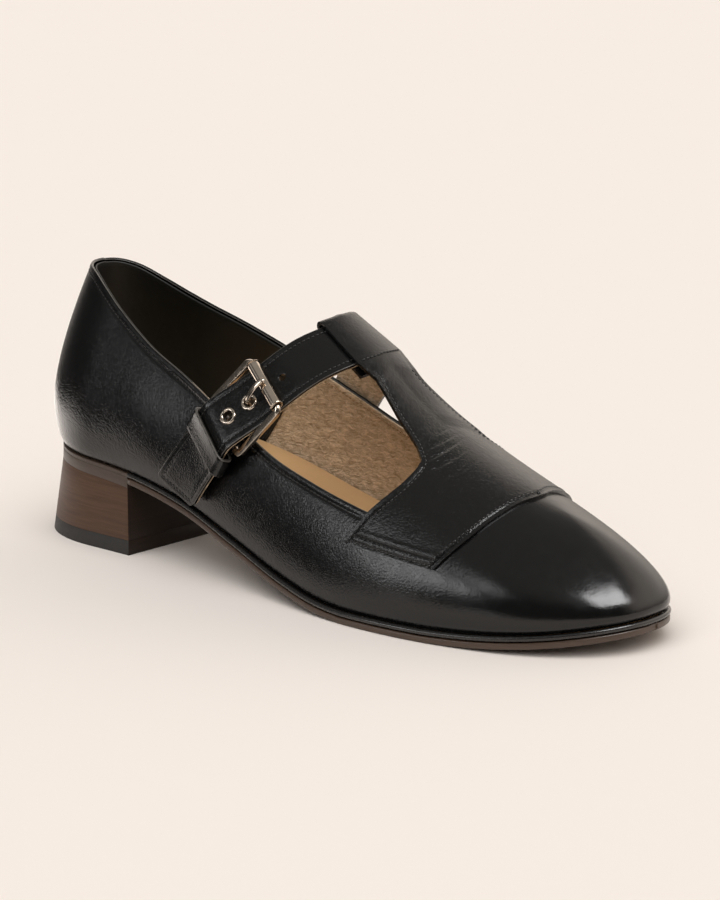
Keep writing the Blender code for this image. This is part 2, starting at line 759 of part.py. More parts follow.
def build_buckle():
    corner = 1.4 * MM
    path = []
    corners = ((ROLLER_AT, 1, 180), (PIVOT_AT, 1, 90), (PIVOT_AT, -1, 0), (ROLLER_AT, -1, 270))
    for along, way, start in corners:
        middle = (along + (corner if along == ROLLER_AT else -corner), way * (FRAME_HALF_WIDTH - corner))
        for angle in np.linspace(start, start - 90, 5) * DEGREE:
            path.append((middle[0] + corner * math.cos(angle), middle[1] + corner * math.sin(angle)))
        if way == 1 and along == ROLLER_AT:
            path += [(a, FRAME_HALF_WIDTH) for a in np.linspace(ROLLER_AT + 5 * MM, PIVOT_AT - 5 * MM, 4)]
        if way == -1 and along == PIVOT_AT:
            path += [(a, -FRAME_HALF_WIDTH) for a in np.linspace(PIVOT_AT - 5 * MM, ROLLER_AT + 5 * MM, 4)]
    along, side = np.array(path).T
    lift = PIVOT_LIFT + (ROLLER_LIFT - PIVOT_LIFT) * (PIVOT_AT - along) / (PIVOT_AT - ROLLER_AT)
    wire("buckle_frame", strap_point(along, side, lift), BAR_RADIUS, GOLD_METAL, True)
    point, ahead, normal, across = strap_frame(np.array(ROLLER_AT))
    middle = point + ROLLER_LIFT * normal
    angle = np.linspace(0, 2 * np.pi, 24, endpoint=False)
    circle = np.cos(angle)[:, None] * ahead + np.sin(angle)[:, None] * normal
    loops = []
    half = ROLLER_LENGTH / 2
    bore = BAR_RADIUS + GAP
    for radius, side in ((ROLLER_RADIUS, -half), (ROLLER_RADIUS, half), (bore, half), (bore, -half)):
        loops.append(middle + radius * circle + side * across)
    ring("buckle_roller", loops, GOLD_METAL)
    path = []
    for angle in np.linspace(-160, 90, 9) * DEGREE:
        path.append((PIVOT_AT + PRONG_EYE * math.cos(angle), PIVOT_LIFT + PRONG_EYE * math.sin(angle)))
    path += list(zip(PRONG["along"], PRONG["lift"]))
    along, lift = np.array(path).T
    wire("buckle_prong", strap_point(along, 0.0, lift), PRONG_RADIUS, GOLD_METAL, False)


clear()
PARTS = collection("t_bar_shoe")
CUTTERS = collection("cutters")
CUTTERS.hide_render = True
BLACK_LEATHER = material("black_leather", (0.012, 0.012, 0.013), 0.35)
TAN_LEATHER = material("tan_leather", (0.36, 0.22, 0.11), 0.5)
BROWN_SOLE = material("brown_sole", (0.055, 0.034, 0.022), 0.45)
BLACK_EDGE = material("black_edge", (0.01, 0.01, 0.01), 0.25)
BROWN_WOOD = material("brown_wood", (0.06, 0.035, 0.024), 0.5)
BLACK_RUBBER = material("black_rubber", (0.012, 0.011, 0.011), 0.6)
GOLD_METAL = material("pale_gold_metal", (0.83, 0.72, 0.56), 0.15, 1.0)

build_upper()
build_sole()
build_heel()
build_saddle()
build_strap()
build_eyelets()
build_tab()
build_keeper()
build_buckle()
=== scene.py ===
"""Looks of a right shoe: a black T-bar shoe with a low wooden block heel.

The leather, lining, sole and metal are modelled here as fine meshes, on the same last as the solids they
stand for. +X runs to the toe, +Y to the inner side (the big toe's), +Z up. Lengths are in metres. x is
counted from the back of the heel until CENTRE is taken off.
"""

import math
from typing import NamedTuple

import bmesh
import bpy
import numpy as np
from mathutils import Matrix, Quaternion, Vector


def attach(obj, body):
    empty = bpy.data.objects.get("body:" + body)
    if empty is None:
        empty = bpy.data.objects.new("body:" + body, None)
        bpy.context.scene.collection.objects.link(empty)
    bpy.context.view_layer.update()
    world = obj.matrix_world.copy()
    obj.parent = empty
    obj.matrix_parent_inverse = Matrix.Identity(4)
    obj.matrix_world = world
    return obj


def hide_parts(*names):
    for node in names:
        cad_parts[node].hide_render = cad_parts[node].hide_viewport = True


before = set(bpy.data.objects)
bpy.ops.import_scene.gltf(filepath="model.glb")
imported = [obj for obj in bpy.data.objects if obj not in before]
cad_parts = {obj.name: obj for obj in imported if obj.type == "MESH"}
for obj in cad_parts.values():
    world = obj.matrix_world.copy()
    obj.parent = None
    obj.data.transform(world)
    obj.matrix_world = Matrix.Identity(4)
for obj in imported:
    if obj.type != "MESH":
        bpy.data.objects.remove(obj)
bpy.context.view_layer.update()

MM = 0.001
DEGREE = math.pi / 180
CENTRE = np.array([121.37, -1.11, 0.0]) * MM
GAP = 0.3 * MM
LAYER_GAP = 0.05 * MM
SHARP_ANGLE = 50 * DEGREE

# sole, from the floor up
TREAD_THICK = 2.1 * MM
WELT_THICK = 1.2 * MM
WELT_RISE = 0.5 * MM
SOLE_STACK = TREAD_THICK + GAP + WELT_THICK + GAP
INSOLE_RISE = 5.4 * MM
WELT_INSET = 1.9 * MM
INSOLE_INSET = 2.3 * MM
TREAD_SETBACK = 0.3 * MM
HEEL_BREAST = 52.5 * MM
HEEL_FLARE = 6.5 * MM
HEEL_LIFT_THICK = 0.9 * MM
TOP_PIECE_THICK = 5.0 * MM

# leather
OUTER_THICK = 1.0 * MM
LINING_THICK = 0.55 * MM
SADDLE_THICK = 1.2 * MM
STRAP_WIDTH = 18.0 * MM
STRAP_THICK = 1.8 * MM
STRAP_LINING = 0.6 * MM
TAIL_SLANT = 7.0 * MM
TAB_WIDTH = 15.0 * MM
TAB_THICK = 1.0 * MM
TAB_SLOT = 3.4 * MM
KEEPER_THICK = 1.1 * MM
KEEPER_SPARE = 0.7 * MM
KEEPER_ROUND = 1.2 * MM

# metal
BAR_RADIUS = 1.1 * MM
ROLLER_RADIUS = 2.2 * MM
ROLLER_LENGTH = 18.0 * MM
FRAME_HALF_WIDTH = 10.6 * MM
EYELET_BORE = 1.6 * MM
EYELET_FLANGE = 2.8 * MM
EYELET_HOLE = 2.2 * MM
SPARE_HOLE = 1.2 * MM

# distances along the strap, from the ridge of the instep down the outer side
EYELETS = {"eyelet_1": 46.3 * MM, "eyelet_2": 38.9 * MM}
SPARE_HOLE_AT = 26.6 * MM
ROLLER_AT = 31.4 * MM
PIVOT_AT = 50.9 * MM
KEEPER_FROM = 54.1 * MM
KEEPER_TO = 61.9 * MM
ROLLER_LIFT = 6.4 * MM
PIVOT_LIFT = 3.4 * MM


def table(columns, units, rows):
    """Columns of a table by name, each scaled by its unit."""
    values = np.array(rows) * np.array(units)
    return dict(zip(columns.split(), values.T))


# plan of the feather edge and height of the sole's tread at stations from heel to toe
PLAN = table("x tread lateral medial axis", (MM,) * 5, [
    (5, 27.6, 25, 25, 0),
    (30, 26.2, 26, 26.5, 0),
    (55, 23.8, 26.5, 28.2, 0),
    (80, 18.9, 28, 29.6, 0),
    (105, 11.5, 31.5, 31.2, 0),
    (130, 4.2, 35.5, 33.4, 0),
    (145, 1.1, 37.6, 34.8, 0),
    (158, 0, 38.7, 35.8, 0.1),
    (172, 0, 38.9, 36.2, 0.3),
    (188, 0, 37.7, 35.5, 0.6),
    (207, 0.9, 34.5, 32.6, 1.3),
    (225, 2.7, 30.5, 28, 2),
    (243, 5.6, 26, 22.5, 2.6),
])
HEEL_END = PLAN["x"][0]
TOE_END = PLAN["x"][-1]
HEEL_CAP = 30.0 * MM
HEEL_ROUND = 2.15
TOE_CAP = 42.0 * MM
TOE_ROUND = 2.5
FLAT_FROM = 158.0 * MM
FLAT_TO = 188.0 * MM

# ridge of the last and shape of its wall
RIDGE_HEEL = 34.0 * MM
RIDGE_TOE = 210.0 * MM
CREST = table("x z", (MM, MM), [
    (0, 132),
    (35, 127),
    (70, 111),
    (100, 93.5),
    (125, 78.3),
    (150, 63),
    (175, 50.4),
    (200, 40.2),
    (220, 33.6),
    (235, 29.2),
    (247, 25.5),
])
WALL = table("x fold lift bulge peak", (MM, 1, 1, MM, DEGREE), [
    (5, 1.95, 1.00, 3.9, 11),
    (30, 2.20, 1.00, 3.5, 13),
    (60, 1.70, 1.00, 3, 15),
    (100, 1.05, 0.98, 2, 16),
    (140, 0.95, 0.95, 1.2, 16),
    (180, 0.95, 0.92, 0.8, 16),
    (215, 0.95, 0.92, 1.2, 16),
    (243, 0.95, 0.92, 1.6, 16),
])
TOPLINE = table("x outer inner", (MM, MM, MM), [
    (8, 92.3, 92.3),
    (15, 92.3, 92),
    (20, 91.8, 89.8),
    (27, 90, 85.3),
    (35, 86, 81),
    (43, 81, 77.8),
    (61, 70.9, 71.6),
    (76, 64.6, 66),
    (90, 58.4, 59.8),
    (108, 51, 52.2),
    (123, 44.9, 45.8),
    (141, 39.8, 40.2),
    (170, 33, 33.3),
])
THROAT = table("x turn", (MM, DEGREE), [
    (165, 0),
    (170, 38),
    (175, 46),
    (181, 60),
    (186, 78),
    (189, 90),
])
EDGE = table("x out", (MM, MM), [
    (5, 0.5),
    (55, 0.7),
    (100, 1.1),
    (150, 1.6),
    (243, 1.3),
])
# middle line of the strap, as station on the ridge and distance from the ridge (outer side negative)
STRAP_PATH = table("ridge across", (MM, MM), [
    (100, 65.6),
    (107, 48),
    (113, 36),
    (120, 22),
    (126, 9),
    (128.8, 0),
    (127.2, -9),
    (122.4, -20),
    (114.9, -36),
    (107.5, -50),
    (99.6, -65),
    (88.6, -85.6),
])
STRAP_LIFT = table("along lift", (MM, MM), [
    (-70, 0.6),
    (-50, 0.7),
    (-30, 1.4),
    (-10, 2.2),
    (10, 2.2),
    (21.7, 1.9),
    (30.5, 2),
    (38.9, 3.2),
    (46.7, 5.4),
    (50.9, 6.4),
    (53.7, 5.8),
    (57.7, 4.3),
    (61.7, 3.4),
    (73.7, 2.4),
    (85.7, 2.1),
])
TAB_LIFT = table("along lift", (MM, MM), [
    (50.9, 4.8),
    (53.7, 4.3),
    (57.7, 2.9),
    (61.7, 2.1),
    (67.7, 0.9),
    (75.7, 0.6),
])
TAB_FOLD = 1.4 * MM
TAB_RETURN = 54.7 * MM
PRONG_EYE = 1.95 * MM
PRONG = table("along lift", (MM, MM), [
    (46.7, 4.1),
    (43.6, 2.9),
    (41.1, 2.2),
    (39.9, 2.5),
    (38.6, 5.9),
    (37.4, 7.1),
    (34, 8.9),
    (31.4, 9.55),
    (29.9, 9.4),
])
# loop of the T-bar around the strap, the bar, and the two edges of the saddle
LOOP_HALF_WIDTH = 8.4 * MM
LOOP_UNDER = 1.9 * MM
LOOP_OVER = 4.3 * MM
LOOP_BACK = -9.2 * MM
LOOP_FRONT = 9.8 * MM
LOOP_END = 12.6 * MM
LOOP_STITCH_AT = 0.2 * MM
T_BAR = table("ridge half lift", (MM, MM, MM), [
    (141.5, 9, 3.9),
    (145, 9.8, 2.9),
    (149, 11.4, 2.1),
    (153, 13.4, 1.4),
    (157, 15.2, 0.9),
    (160.4, 17.2, 0.6),
])
SADDLE_REAR = table("share ridge across", (1, MM, MM), [
    (0, 164, 0),
    (0.33, 162.9, 20),
    (0.40, 162.5, 23.6),
    (0.46, 161.4, 27.2),
    (0.80, 151.7, 47.3),
    (1, 147, 58),
])
SADDLE_FRONT = table("share ridge across", (1, MM, MM), [
    (0, 202.2, 0),
    (0.1, 198.6, 5),
    (0.2, 194.8, 10),
    (0.45, 186.7, 23.5),
    (0.68, 180, 35.9),
    (0.88, 174.8, 45.4),
    (1, 172, 50.8),
])
MEDIAL_REACH = 0.92
SADDLE_LIFT = -0.1 * MM
BAR_SHARE = 1 / 3

# fine flexing creases of the saddle, across the foot below the T-bar
CREASES = table("ridge across half depth bow", (MM, MM, MM, MM, MM), [
    (160.9, -6.5, 5, 0.09, 0.5),
    (162.4, -9, 6.5, 0.12, 0.6),
    (163.7, -8, 7, 0.14, 0.7),
    (165, -11, 7.5, 0.17, 0.8),
    (166.3, -9.5, 8, 0.18, 0.8),
    (167.6, -13, 8, 0.19, 0.9),
    (168.8, -10.5, 8, 0.18, 0.9),
    (170.1, -14.5, 7.5, 0.17, 0.9),
    (171.6, -12, 7, 0.14, 0.8),
    (173.3, -16, 6.5, 0.12, 0.8),
    (175.3, -13.5, 5.5, 0.08, 0.7),
    (163.4, 8.5, 5, 0.06, 0.8),
    (166.1, 10, 5.5, 0.07, 1),
    (168.9, 11.5, 5.5, 0.07, 1.1),
])
CREASE_WIDTH = 0.40 * MM
CREASE_SLANT = 0.4
CREASE_RIDGE = 0.5
CREASE_RIDGE_AT = 0.8 * MM


# the last

def smooth(x, xs, ys):
    """Cubic through the points (xs, ys), with slopes from the neighbours, read at x."""
    x = np.clip(x, xs[0], xs[-1])
    slopes = np.gradient(ys, xs)
    i = np.clip(np.searchsorted(xs, x) - 1, 0, len(xs) - 2)
    span = xs[i + 1] - xs[i]
    t = (x - xs[i]) / span
    start = (2 * t**3 - 3 * t**2 + 1) * ys[i] + (t**3 - 2 * t**2 + t) * span * slopes[i]
    end = (3 * t**2 - 2 * t**3) * ys[i + 1] + (t**3 - t**2) * span * slopes[i + 1]
    return start + end


def read(rows, column, x, key="x"):
    return smooth(np.asarray(x, float), rows[key], rows[column])


def hump(distance, width):
    """Soft ridge of height 1, a width to each side of distance 0."""
    return np.exp(-(distance / width) ** 2)


def run_along(points, axis=0):
    """Distance of each point from the first, along the lines that run over an axis of points."""
    steps = np.linalg.norm(np.diff(points, axis=axis), axis=-1)
    return np.concatenate([np.zeros_like(np.take(steps, [0], axis)), np.cumsum(steps, axis)], axis)


def arc(centre, radius, start, end, steps):
    """Points of an arc in a plane, from one angle in degrees to another."""
    angle = np.linspace(start, end, steps) * DEGREE
    return np.array(centre) + radius * np.stack([np.cos(angle), np.sin(angle)], -1)


def read_line(place, run, line):
    """Point, or vector, at a place on a line whose points lie at the distances run."""
    return np.stack([np.interp(place, run, line[:, k]) for k in range(3)], -1)


def tread_height(x):
    """Underside of the outsole: flat on the floor under the ball of the foot."""
    flat = (x >= FLAT_FROM) & (x <= FLAT_TO)
    return np.where(flat, 0.0, np.maximum(read(PLAN, "tread", x), 0.0))


def feather_height(x):
    return tread_height(x) + SOLE_STACK


def foot(turn):
    """Plan point of the feather edge: turn runs 0 to 1 from heel to toe outside, 1 to 2 back inside."""
    turn = np.mod(np.asarray(turn, float), 2.0)
    outer = turn <= 1.0
    x = HEEL_END + (TOE_END - HEEL_END) * (1 - np.cos(np.pi * turn)) / 2
    heel = np.clip((HEEL_END + HEEL_CAP - x) / HEEL_CAP, 0, 1)
    toe = np.clip((x - TOE_END + TOE_CAP) / TOE_CAP, 0, 1)
    share = (1 - heel**HEEL_ROUND) ** (1 / HEEL_ROUND) * (1 - toe**TOE_ROUND) ** (1 / TOE_ROUND)
    half = np.where(outer, -read(PLAN, "lateral", x), read(PLAN, "medial", x))
    return np.stack([x, read(PLAN, "axis", x) + half * share], -1)


def turn_of(share):
    """Turn of the outer wall at a share of the way from heel to toe."""
    return np.arccos(1 - 2 * np.clip(share, 0, 1)) / np.pi


def turn_at(x):
    """Turn of the outer wall whose foot is at x."""
    return turn_of((np.asarray(x, float) - HEEL_END) / (TOE_END - HEEL_END))


def foot_out(turn, step=1e-3):
    """Outward direction of the feather edge in plan."""
    along = foot(turn + step) - foot(turn - step)
    out = np.stack([along[..., 1], -along[..., 0]], -1)
    return out / np.linalg.norm(out, axis=-1, keepdims=True)


def last_point(turn, rise):
    """Point of the last above foot(turn), rise (0 to a right angle) up its wall towards the ridge."""
    base = foot(turn)
    x = base[..., 0]
    share = (x - HEEL_END) / (TOE_END - HEEL_END)
    ridge_x = RIDGE_HEEL + (RIDGE_TOE - RIDGE_HEEL) * share
    ridge = np.stack([ridge_x, read(PLAN, "axis", ridge_x)], -1)
    run = 1 - np.maximum(np.cos(rise), 0) ** read(WALL, "fold", x)
    swell = rise / read(WALL, "peak", x)
    swell = read(WALL, "bulge", x) * swell * np.exp(1 - swell) * np.cos(rise)
    flat = base + run[..., None] * (ridge - base) + swell[..., None] * foot_out(turn)
    low = feather_height(x)
    z = low + (read(CREST, "z", flat[..., 0]) - low) * np.sin(rise) ** read(WALL, "lift", x)
    return np.concatenate([flat, z[..., None]], -1)


def unit(vectors):
    return vectors / np.maximum(np.linalg.norm(vectors, axis=-1, keepdims=True), 1e-12)


def last_normal(turn, rise, step=3e-3):
    along = last_point(turn + step, rise) - last_point(turn - step, rise)
    up = last_point(turn, rise + step) - last_point(turn, np.maximum(rise - step, 0))
    return unit(np.cross(along, up))


def rim_rise(turn):
    """Rise at which the wall above foot(turn) ends: at the top line, in the throat or on the ridge."""
    turn = np.mod(turn, 2.0)
    low = np.zeros(np.shape(turn))
    high = np.full(np.shape(turn), np.pi / 2)
    for _ in range(40):
        middle = (low + high) / 2
        point = last_point(turn, middle)
        x = point[..., 0]
        top = np.where(turn <= 1, read(TOPLINE, "outer", x), read(TOPLINE, "inner", x))
        under = point[..., 2] < top
        low = np.where(under, middle, low)
        high = np.where(under, high, middle)
    throat = np.interp(foot(turn)[..., 0], THROAT["x"], THROAT["turn"])
    return np.maximum(low, throat)


class Wall:
    """Walls of the last above some turns, measured down from their rim."""

    def __init__(self, turns, samples=160):
        self.turns = np.asarray(turns, float)
        self.rim = rim_rise(self.turns)
        self.rises = self.rim[:, None] * np.linspace(1, 0, samples)
        self.runs = run_along(last_point(np.repeat(self.turns[:, None], samples, 1), self.rises), 1)
        self.length = self.runs[:, -1]
        self.closed = self.rim > np.pi / 2 - 1e-4

    def rise(self, below):
        """Rise at a distance below the rim; below has a row for each turn."""
        rows = [np.interp(b, run, rise) for b, run, rise in zip(below, self.runs, self.rises)]
        return np.array(rows)

    def points(self, below, depth=0.0):
        """Points below the rim, sunk into the wall by depth."""
        rise = self.rise(below)
        turns = np.repeat(self.turns[:, None], rise.shape[1], 1)
        sunk = np.broadcast_to(depth, rise.shape)[..., None]
        return last_point(turns, rise) - sunk * last_normal(turns, rise)


# places on the instep: station on the ridge, and distance across from it

def chart_point(ridge_x, across, samples=60):
    """Point of the last at a station of the ridge and a distance down the wall from it."""
    ridge_x = np.asarray(ridge_x, float)
    across = np.asarray(across, float)
    turn = turn_of((ridge_x - RIDGE_HEEL) / (RIDGE_TOE - RIDGE_HEEL))
    turn = np.where(across < 0, turn, 2 - turn)
    rises = np.linspace(np.pi / 2, 0, samples)
    walls = np.repeat(turn[..., None], samples, -1)
    runs = run_along(last_point(walls, np.broadcast_to(rises, walls.shape)), turn.ndim)
    rise = np.empty(turn.shape)
    for i in np.ndindex(turn.shape):
        rise[i] = np.interp(abs(across[i]), runs[i], rises)
    return last_point(turn, rise)


def chart_normal(ridge_x, across, step=0.4 * MM):
    along = chart_point(ridge_x + step, across) - chart_point(ridge_x - step, across)
    over = chart_point(ridge_x, across + step) - chart_point(ridge_x, across - step)
    return unit(np.cross(along, over))


def chart_lifted(ridge_x, across, lift):
    lift = np.broadcast_to(lift, np.shape(ridge_x))
    return chart_point(ridge_x, across) + lift[..., None] * chart_normal(ridge_x, across)


# length over which the strap's turn on the ridge is spread
STRAP_SOFT = 8.0 * MM


def strap_line():
    """Middle line of the strap on the last: distance along it from the ridge, and its frame."""
    rows = len(STRAP_PATH["ridge"])
    t = np.linspace(0, rows - 1, 12 * rows)
    ridge_x = smooth(t, np.arange(rows), STRAP_PATH["ridge"])
    across = smooth(t, np.arange(rows), STRAP_PATH["across"])
    points = chart_point(ridge_x, across)
    normal = chart_normal(ridge_x, across)
    along = run_along(points)
    along = along - np.interp(0.0, -across, along)
    near = hump(along[:, None] - along, STRAP_SOFT)
    ahead = unit(near @ unit(np.gradient(points, along, axis=0)))
    normal = near @ normal
    normal = unit(normal - np.sum(normal * ahead, 1, keepdims=True) * ahead)
    return along, points, ahead, normal, np.cross(normal, ahead)


STRAP = strap_line()
STRAP_FROM = STRAP[0][0]
STRAP_TO = STRAP[0][-1]


def strap_frame(along):
    """Point, direction, normal and side direction of the strap's middle line."""
    return [read_line(along, STRAP[0], line) for line in STRAP[1:]]


def strap_point(along, side, lift):
    """Point beside and above the strap's middle line: side is positive towards the toe."""
    along, side, lift = np.broadcast_arrays(*(np.asarray(v, float) for v in (along, side, lift)))
    point, _, normal, across = strap_frame(along)
    return point + side[..., None] * across + lift[..., None] * normal


def strap_lift(along):
    return read(STRAP_LIFT, "lift", along, "along")


def tab_lift(along):
    return read(TAB_LIFT, "lift", along, "along")


# meshes

MERGE = 0.004 * MM
# one stitch: places along its length, and heights and thicknesses in radii of the thread
STITCH_ARC = np.array([
    (-0.5, -0.9, 0.7),
    (-0.42, -0.1, 1),
    (-0.2, 0.45, 1),
    (0.2, 0.45, 1),
    (0.42, -0.1, 1),
    (0.5, -0.9, 0.7),
])
STITCH_PITCH = 1.6 * MM
STITCH_LENGTH = 1.15 * MM
THREAD_RADIUS = 0.26 * MM
THREAD_SIDES = 6


def new_object(name, data):
    made = bpy.data.objects.new(name, data)
    bpy.context.scene.collection.objects.link(made)
    return made


def piece(name, points, faces, skin, slot, replaces=(), merge=MERGE):
    """Object from points and faces, smooth, with shared points merged and normals facing out."""
    mesh = bpy.data.meshes.new(name)
    placed = np.asarray(points, float).reshape(-1, 3) - CENTRE
    mesh.from_pydata(placed.tolist(), [], faces)
    work = bmesh.new()
    work.from_mesh(mesh)
    if merge:
        bmesh.ops.remove_doubles(work, verts=work.verts, dist=merge)
        bmesh.ops.dissolve_degenerate(work, edges=work.edges, dist=merge / 2)
    bmesh.ops.recalc_face_normals(work, faces=work.faces)
    work.to_mesh(mesh)
    work.free()
    mesh.shade_smooth()
    mesh.materials.append(skin)
    made = new_object(name, mesh)
    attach(made, "root")
    for node in replaces:
        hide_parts(node)
    return made


def settle(made):
    """Applies an object's modifiers to its mesh."""
    view = bpy.context.evaluated_depsgraph_get()
    mesh = bpy.data.meshes.new_from_object(made.evaluated_get(view))
    made.modifiers.clear()
    made.data = mesh
    mesh.shade_smooth()


def thicken(made, thick, offset, edge, segments, edge_skin=None):
    """Gives an open sheet its thickness, with rounded edges."""
    shell = made.modifiers.new("thickness", "SOLIDIFY")
    shell.thickness = thick
    shell.offset = offset
    shell.use_even_offset = True
    shell.use_quality_normals = True
    round_edges(made, edge, segments, edge_skin)


def round_edges(made, width, segments, edge_skin=None):
    """Rounds the sharp edges; edge_skin is the material of the rounding."""
    bevel = made.modifiers.new("rounded edges", "BEVEL")
    if edge_skin:
        made.data.materials.append(edge_skin)
        bevel.material = 1
    bevel.width = width
    bevel.segments = segments
    bevel.limit_method = "ANGLE"
    bevel.angle_limit = SHARP_ANGLE


def paint(made, skin, where):
    """Gives another material to the faces for which where(face) holds."""
    made.data.materials.append(skin)
    for face in made.data.polygons:
        if where(face):
            face.material_index = 1


def grid_faces(rows, columns, start=0, keep=None):
    faces = []
    for i in range(rows - 1):
        for j in range(columns - 1):
            if keep is None or keep(i, j):
                a = start + i * columns + j
                faces.append((a, a + columns, a + columns + 1, a + 1))
    return faces


def loop_faces(loops, count, closed):
    """Faces between successive closed loops of count points; closed joins the last loop to the first."""
    faces = []
    for i in range(loops if closed else loops - 1):
        a = i * count
        b = (i + 1) % loops * count
        for j in range(count):
            k = (j + 1) % count
            faces.append((a + j, b + j, b + k, a + k))
    if not closed:
        faces.append(tuple(range(count)))
        faces.append(tuple(range((loops - 1) * count, loops * count)))
    return faces


def sheet(name, points, *looks):
    """Piece from a grid of points."""
    return piece(name, points, grid_faces(*points.shape[:2]), *looks)


def tube(name, loops, closed, *looks):
    """Piece from successive loops of points."""
    return piece(name, loops, loop_faces(*loops.shape[:2], closed), *looks)


def circle_steps(count):
    return np.linspace(0, 2 * np.pi, count, endpoint=False)


def sweep(path, normal, halves, squareness, closed, count):
    """Loops around a path, with half width and half height at each point, and how square the section is."""
    if closed:
        ahead = unit(np.roll(path, -1, 0) - np.roll(path, 1, 0))
    else:
        ahead = unit(np.gradient(path, axis=0))
    normal = unit(normal - np.sum(normal * ahead, -1, keepdims=True) * ahead)
    side = np.cross(ahead, normal)
    angle = circle_steps(count)
    power = 2 / np.broadcast_to(squareness, len(path))[:, None]
    wide = np.sign(np.cos(angle)) * np.abs(np.cos(angle)) ** power * halves[:, :1]
    high = np.sign(np.sin(angle)) * np.abs(np.sin(angle)) ** power * halves[:, 1:]
    return path[:, None] + (wide[..., None] * side[:, None] + high[..., None] * normal[:, None])


def stitch_row(line, normals):
    """Points and faces of a row of short arched threads along a line on a surface."""
    run = run_along(line)
    count = max(int(run[-1] / STITCH_PITCH), 1)
    place, lift, thick = STITCH_ARC.T
    thick = THREAD_RADIUS * thick[:, None, None]
    angle = circle_steps(THREAD_SIDES)[None, :, None]
    points = []
    faces = []
    for k in range(count):
        places = (k + 0.5) * run[-1] / count + place * STITCH_LENGTH
        up = unit(read_line(places, run, normals))
        path = read_line(places, run, line) + up * lift[:, None] * THREAD_RADIUS
        across = np.cross(unit(path[-1] - path[0]), up)
        ring = np.cos(angle) * across[:, None] + np.sin(angle) * up[:, None]
        start = len(points) * len(STITCH_ARC) * THREAD_SIDES
        points.append(path[:, None] + thick * ring)
        faces += [tuple(start + i for i in face) for face in loop_faces(len(STITCH_ARC), THREAD_SIDES, False)]
    return np.concatenate(points).reshape(-1, 3), faces


def stitch_piece(name, rows, skin, slot):
    """One object from several rows of stitches, each a line and its normals."""
    points = []
    faces = []
    start = 0
    for line, normals in rows:
        made, joined = stitch_row(line, normals)
        faces += [tuple(start + i for i in face) for face in joined]
        points.append(made)
        start += len(made)
    piece(name, np.concatenate(points), faces, skin, slot, merge=0)


# materials

# sockets of a colour mix: its factor, its two colours and its result
MIX_INPUTS = (0, 6, 7)
MIX_RESULT = 2
# where most of a noise lies
NOISE_LOW = 0.3
NOISE_HIGH = 0.7
CELL_GROOVE = 0.22
CELL_BEND = 0.6
# x, from the shoe's middle, at which the leather begins to be stiffened for the toe, and at which it is
STIFF_FROM = 35.0 * MM
STIFF_TO = 85.0 * MM


class Grain(NamedTuple):
    """Noise over an object, by its fineness per metre, and the bump that it makes."""

    scale: float
    detail: float = 3.0
    rough: float = 0.55
    stretch: tuple = (1, 1, 1)
    distortion: float = 0.0
    strength: float = 0.0
    depth: float = 0.0


def feed(tree, socket, value):
    """Gives a socket a value or another node's output."""
    if isinstance(value, bpy.types.NodeSocket):
        tree.links.new(value, socket)
    else:
        socket.default_value = value


def add(tree, kind, **inputs):
    """Node with its settings and inputs, each a value or another node's output."""
    made = tree.nodes.new("ShaderNode" + kind)
    for name, value in inputs.items():
        if hasattr(made, name):
            setattr(made, name, value)
        else:
            feed(tree, made.inputs[name.replace("_", " ")], value)
    return made


def new_material(name, **values):
    made = bpy.data.materials.new(name)
    made.use_nodes = True
    shader = made.node_tree.nodes["Principled BSDF"]
    for socket, value in values.items():
        shader.inputs[socket.replace("_", " ")].default_value = value
    return made, made.node_tree, shader


def spread(tree, value, start, end, low=0.0, high=1.0, kind="LINEAR"):
    """Value from start to end, spread over low to high."""
    limits = {"From_Min": start, "From_Max": end, "To_Min": low, "To_Max": high}
    return add(tree, "MapRange", interpolation_type=kind, Value=value, **limits).outputs["Result"]


def mix(tree, factor, first, second):
    made = add(tree, "Mix", data_type="RGBA")
    for place, value in zip(MIX_INPUTS, (factor, first, second)):
        feed(tree, made.inputs[place], value)
    return made.outputs[MIX_RESULT]


def place_of(tree, stretch=(1, 1, 1)):
    """Position on the object, stretched along its axes."""
    coordinates = add(tree, "TexCoord").outputs["Object"]
    return add(tree, "Mapping", Vector=coordinates, Scale=stretch).outputs["Vector"]


def noise(tree, grain):
    """Noise of a grain, from 0 to 1."""
    made = add(tree, "TexNoise", Vector=place_of(tree, grain.stretch), Scale=grain.scale, Detail=grain.detail)
    made.inputs["Roughness"].default_value = grain.rough
    made.inputs["Distortion"].default_value = grain.distortion
    return made.outputs["Fac"]


def cells(tree, scale):
    """Small rounded cells with grooves between them, bent by a noise."""
    place = place_of(tree)
    bend = add(tree, "TexNoise", Vector=place, Scale=scale * CELL_BEND, Detail=2.0)
    moved = add(tree, "VectorMath", operation="MULTIPLY_ADD")
    for socket, value in zip(moved.inputs, (bend.outputs["Color"], (CELL_BEND / scale,) * 3, place)):
        feed(tree, socket, value)
    walls = add(tree, "TexVoronoi", feature="DISTANCE_TO_EDGE", Vector=moved.outputs[0], Scale=scale)
    return spread(tree, walls.outputs["Distance"], 0.0, CELL_GROOVE, kind="SMOOTHSTEP")


def bump(tree, shader, heights):
    """Chain of bumps: each a height, a strength and a distance."""
    before = None
    for height, strength, distance in heights:
        made = add(tree, "Bump", Height=height, Strength=strength, Distance=distance)
        if before is not None:
            tree.links.new(before, made.inputs["Normal"])
        before = made.outputs["Normal"]
    tree.links.new(before, shader.inputs["Normal"])
    tree.links.new(before, shader.inputs["Coat Normal"])


def colour(tree, shader, factor, dark, light):
    feed(tree, shader.inputs["Base Color"], mix(tree, factor, (*dark, 1), (*light, 1)))


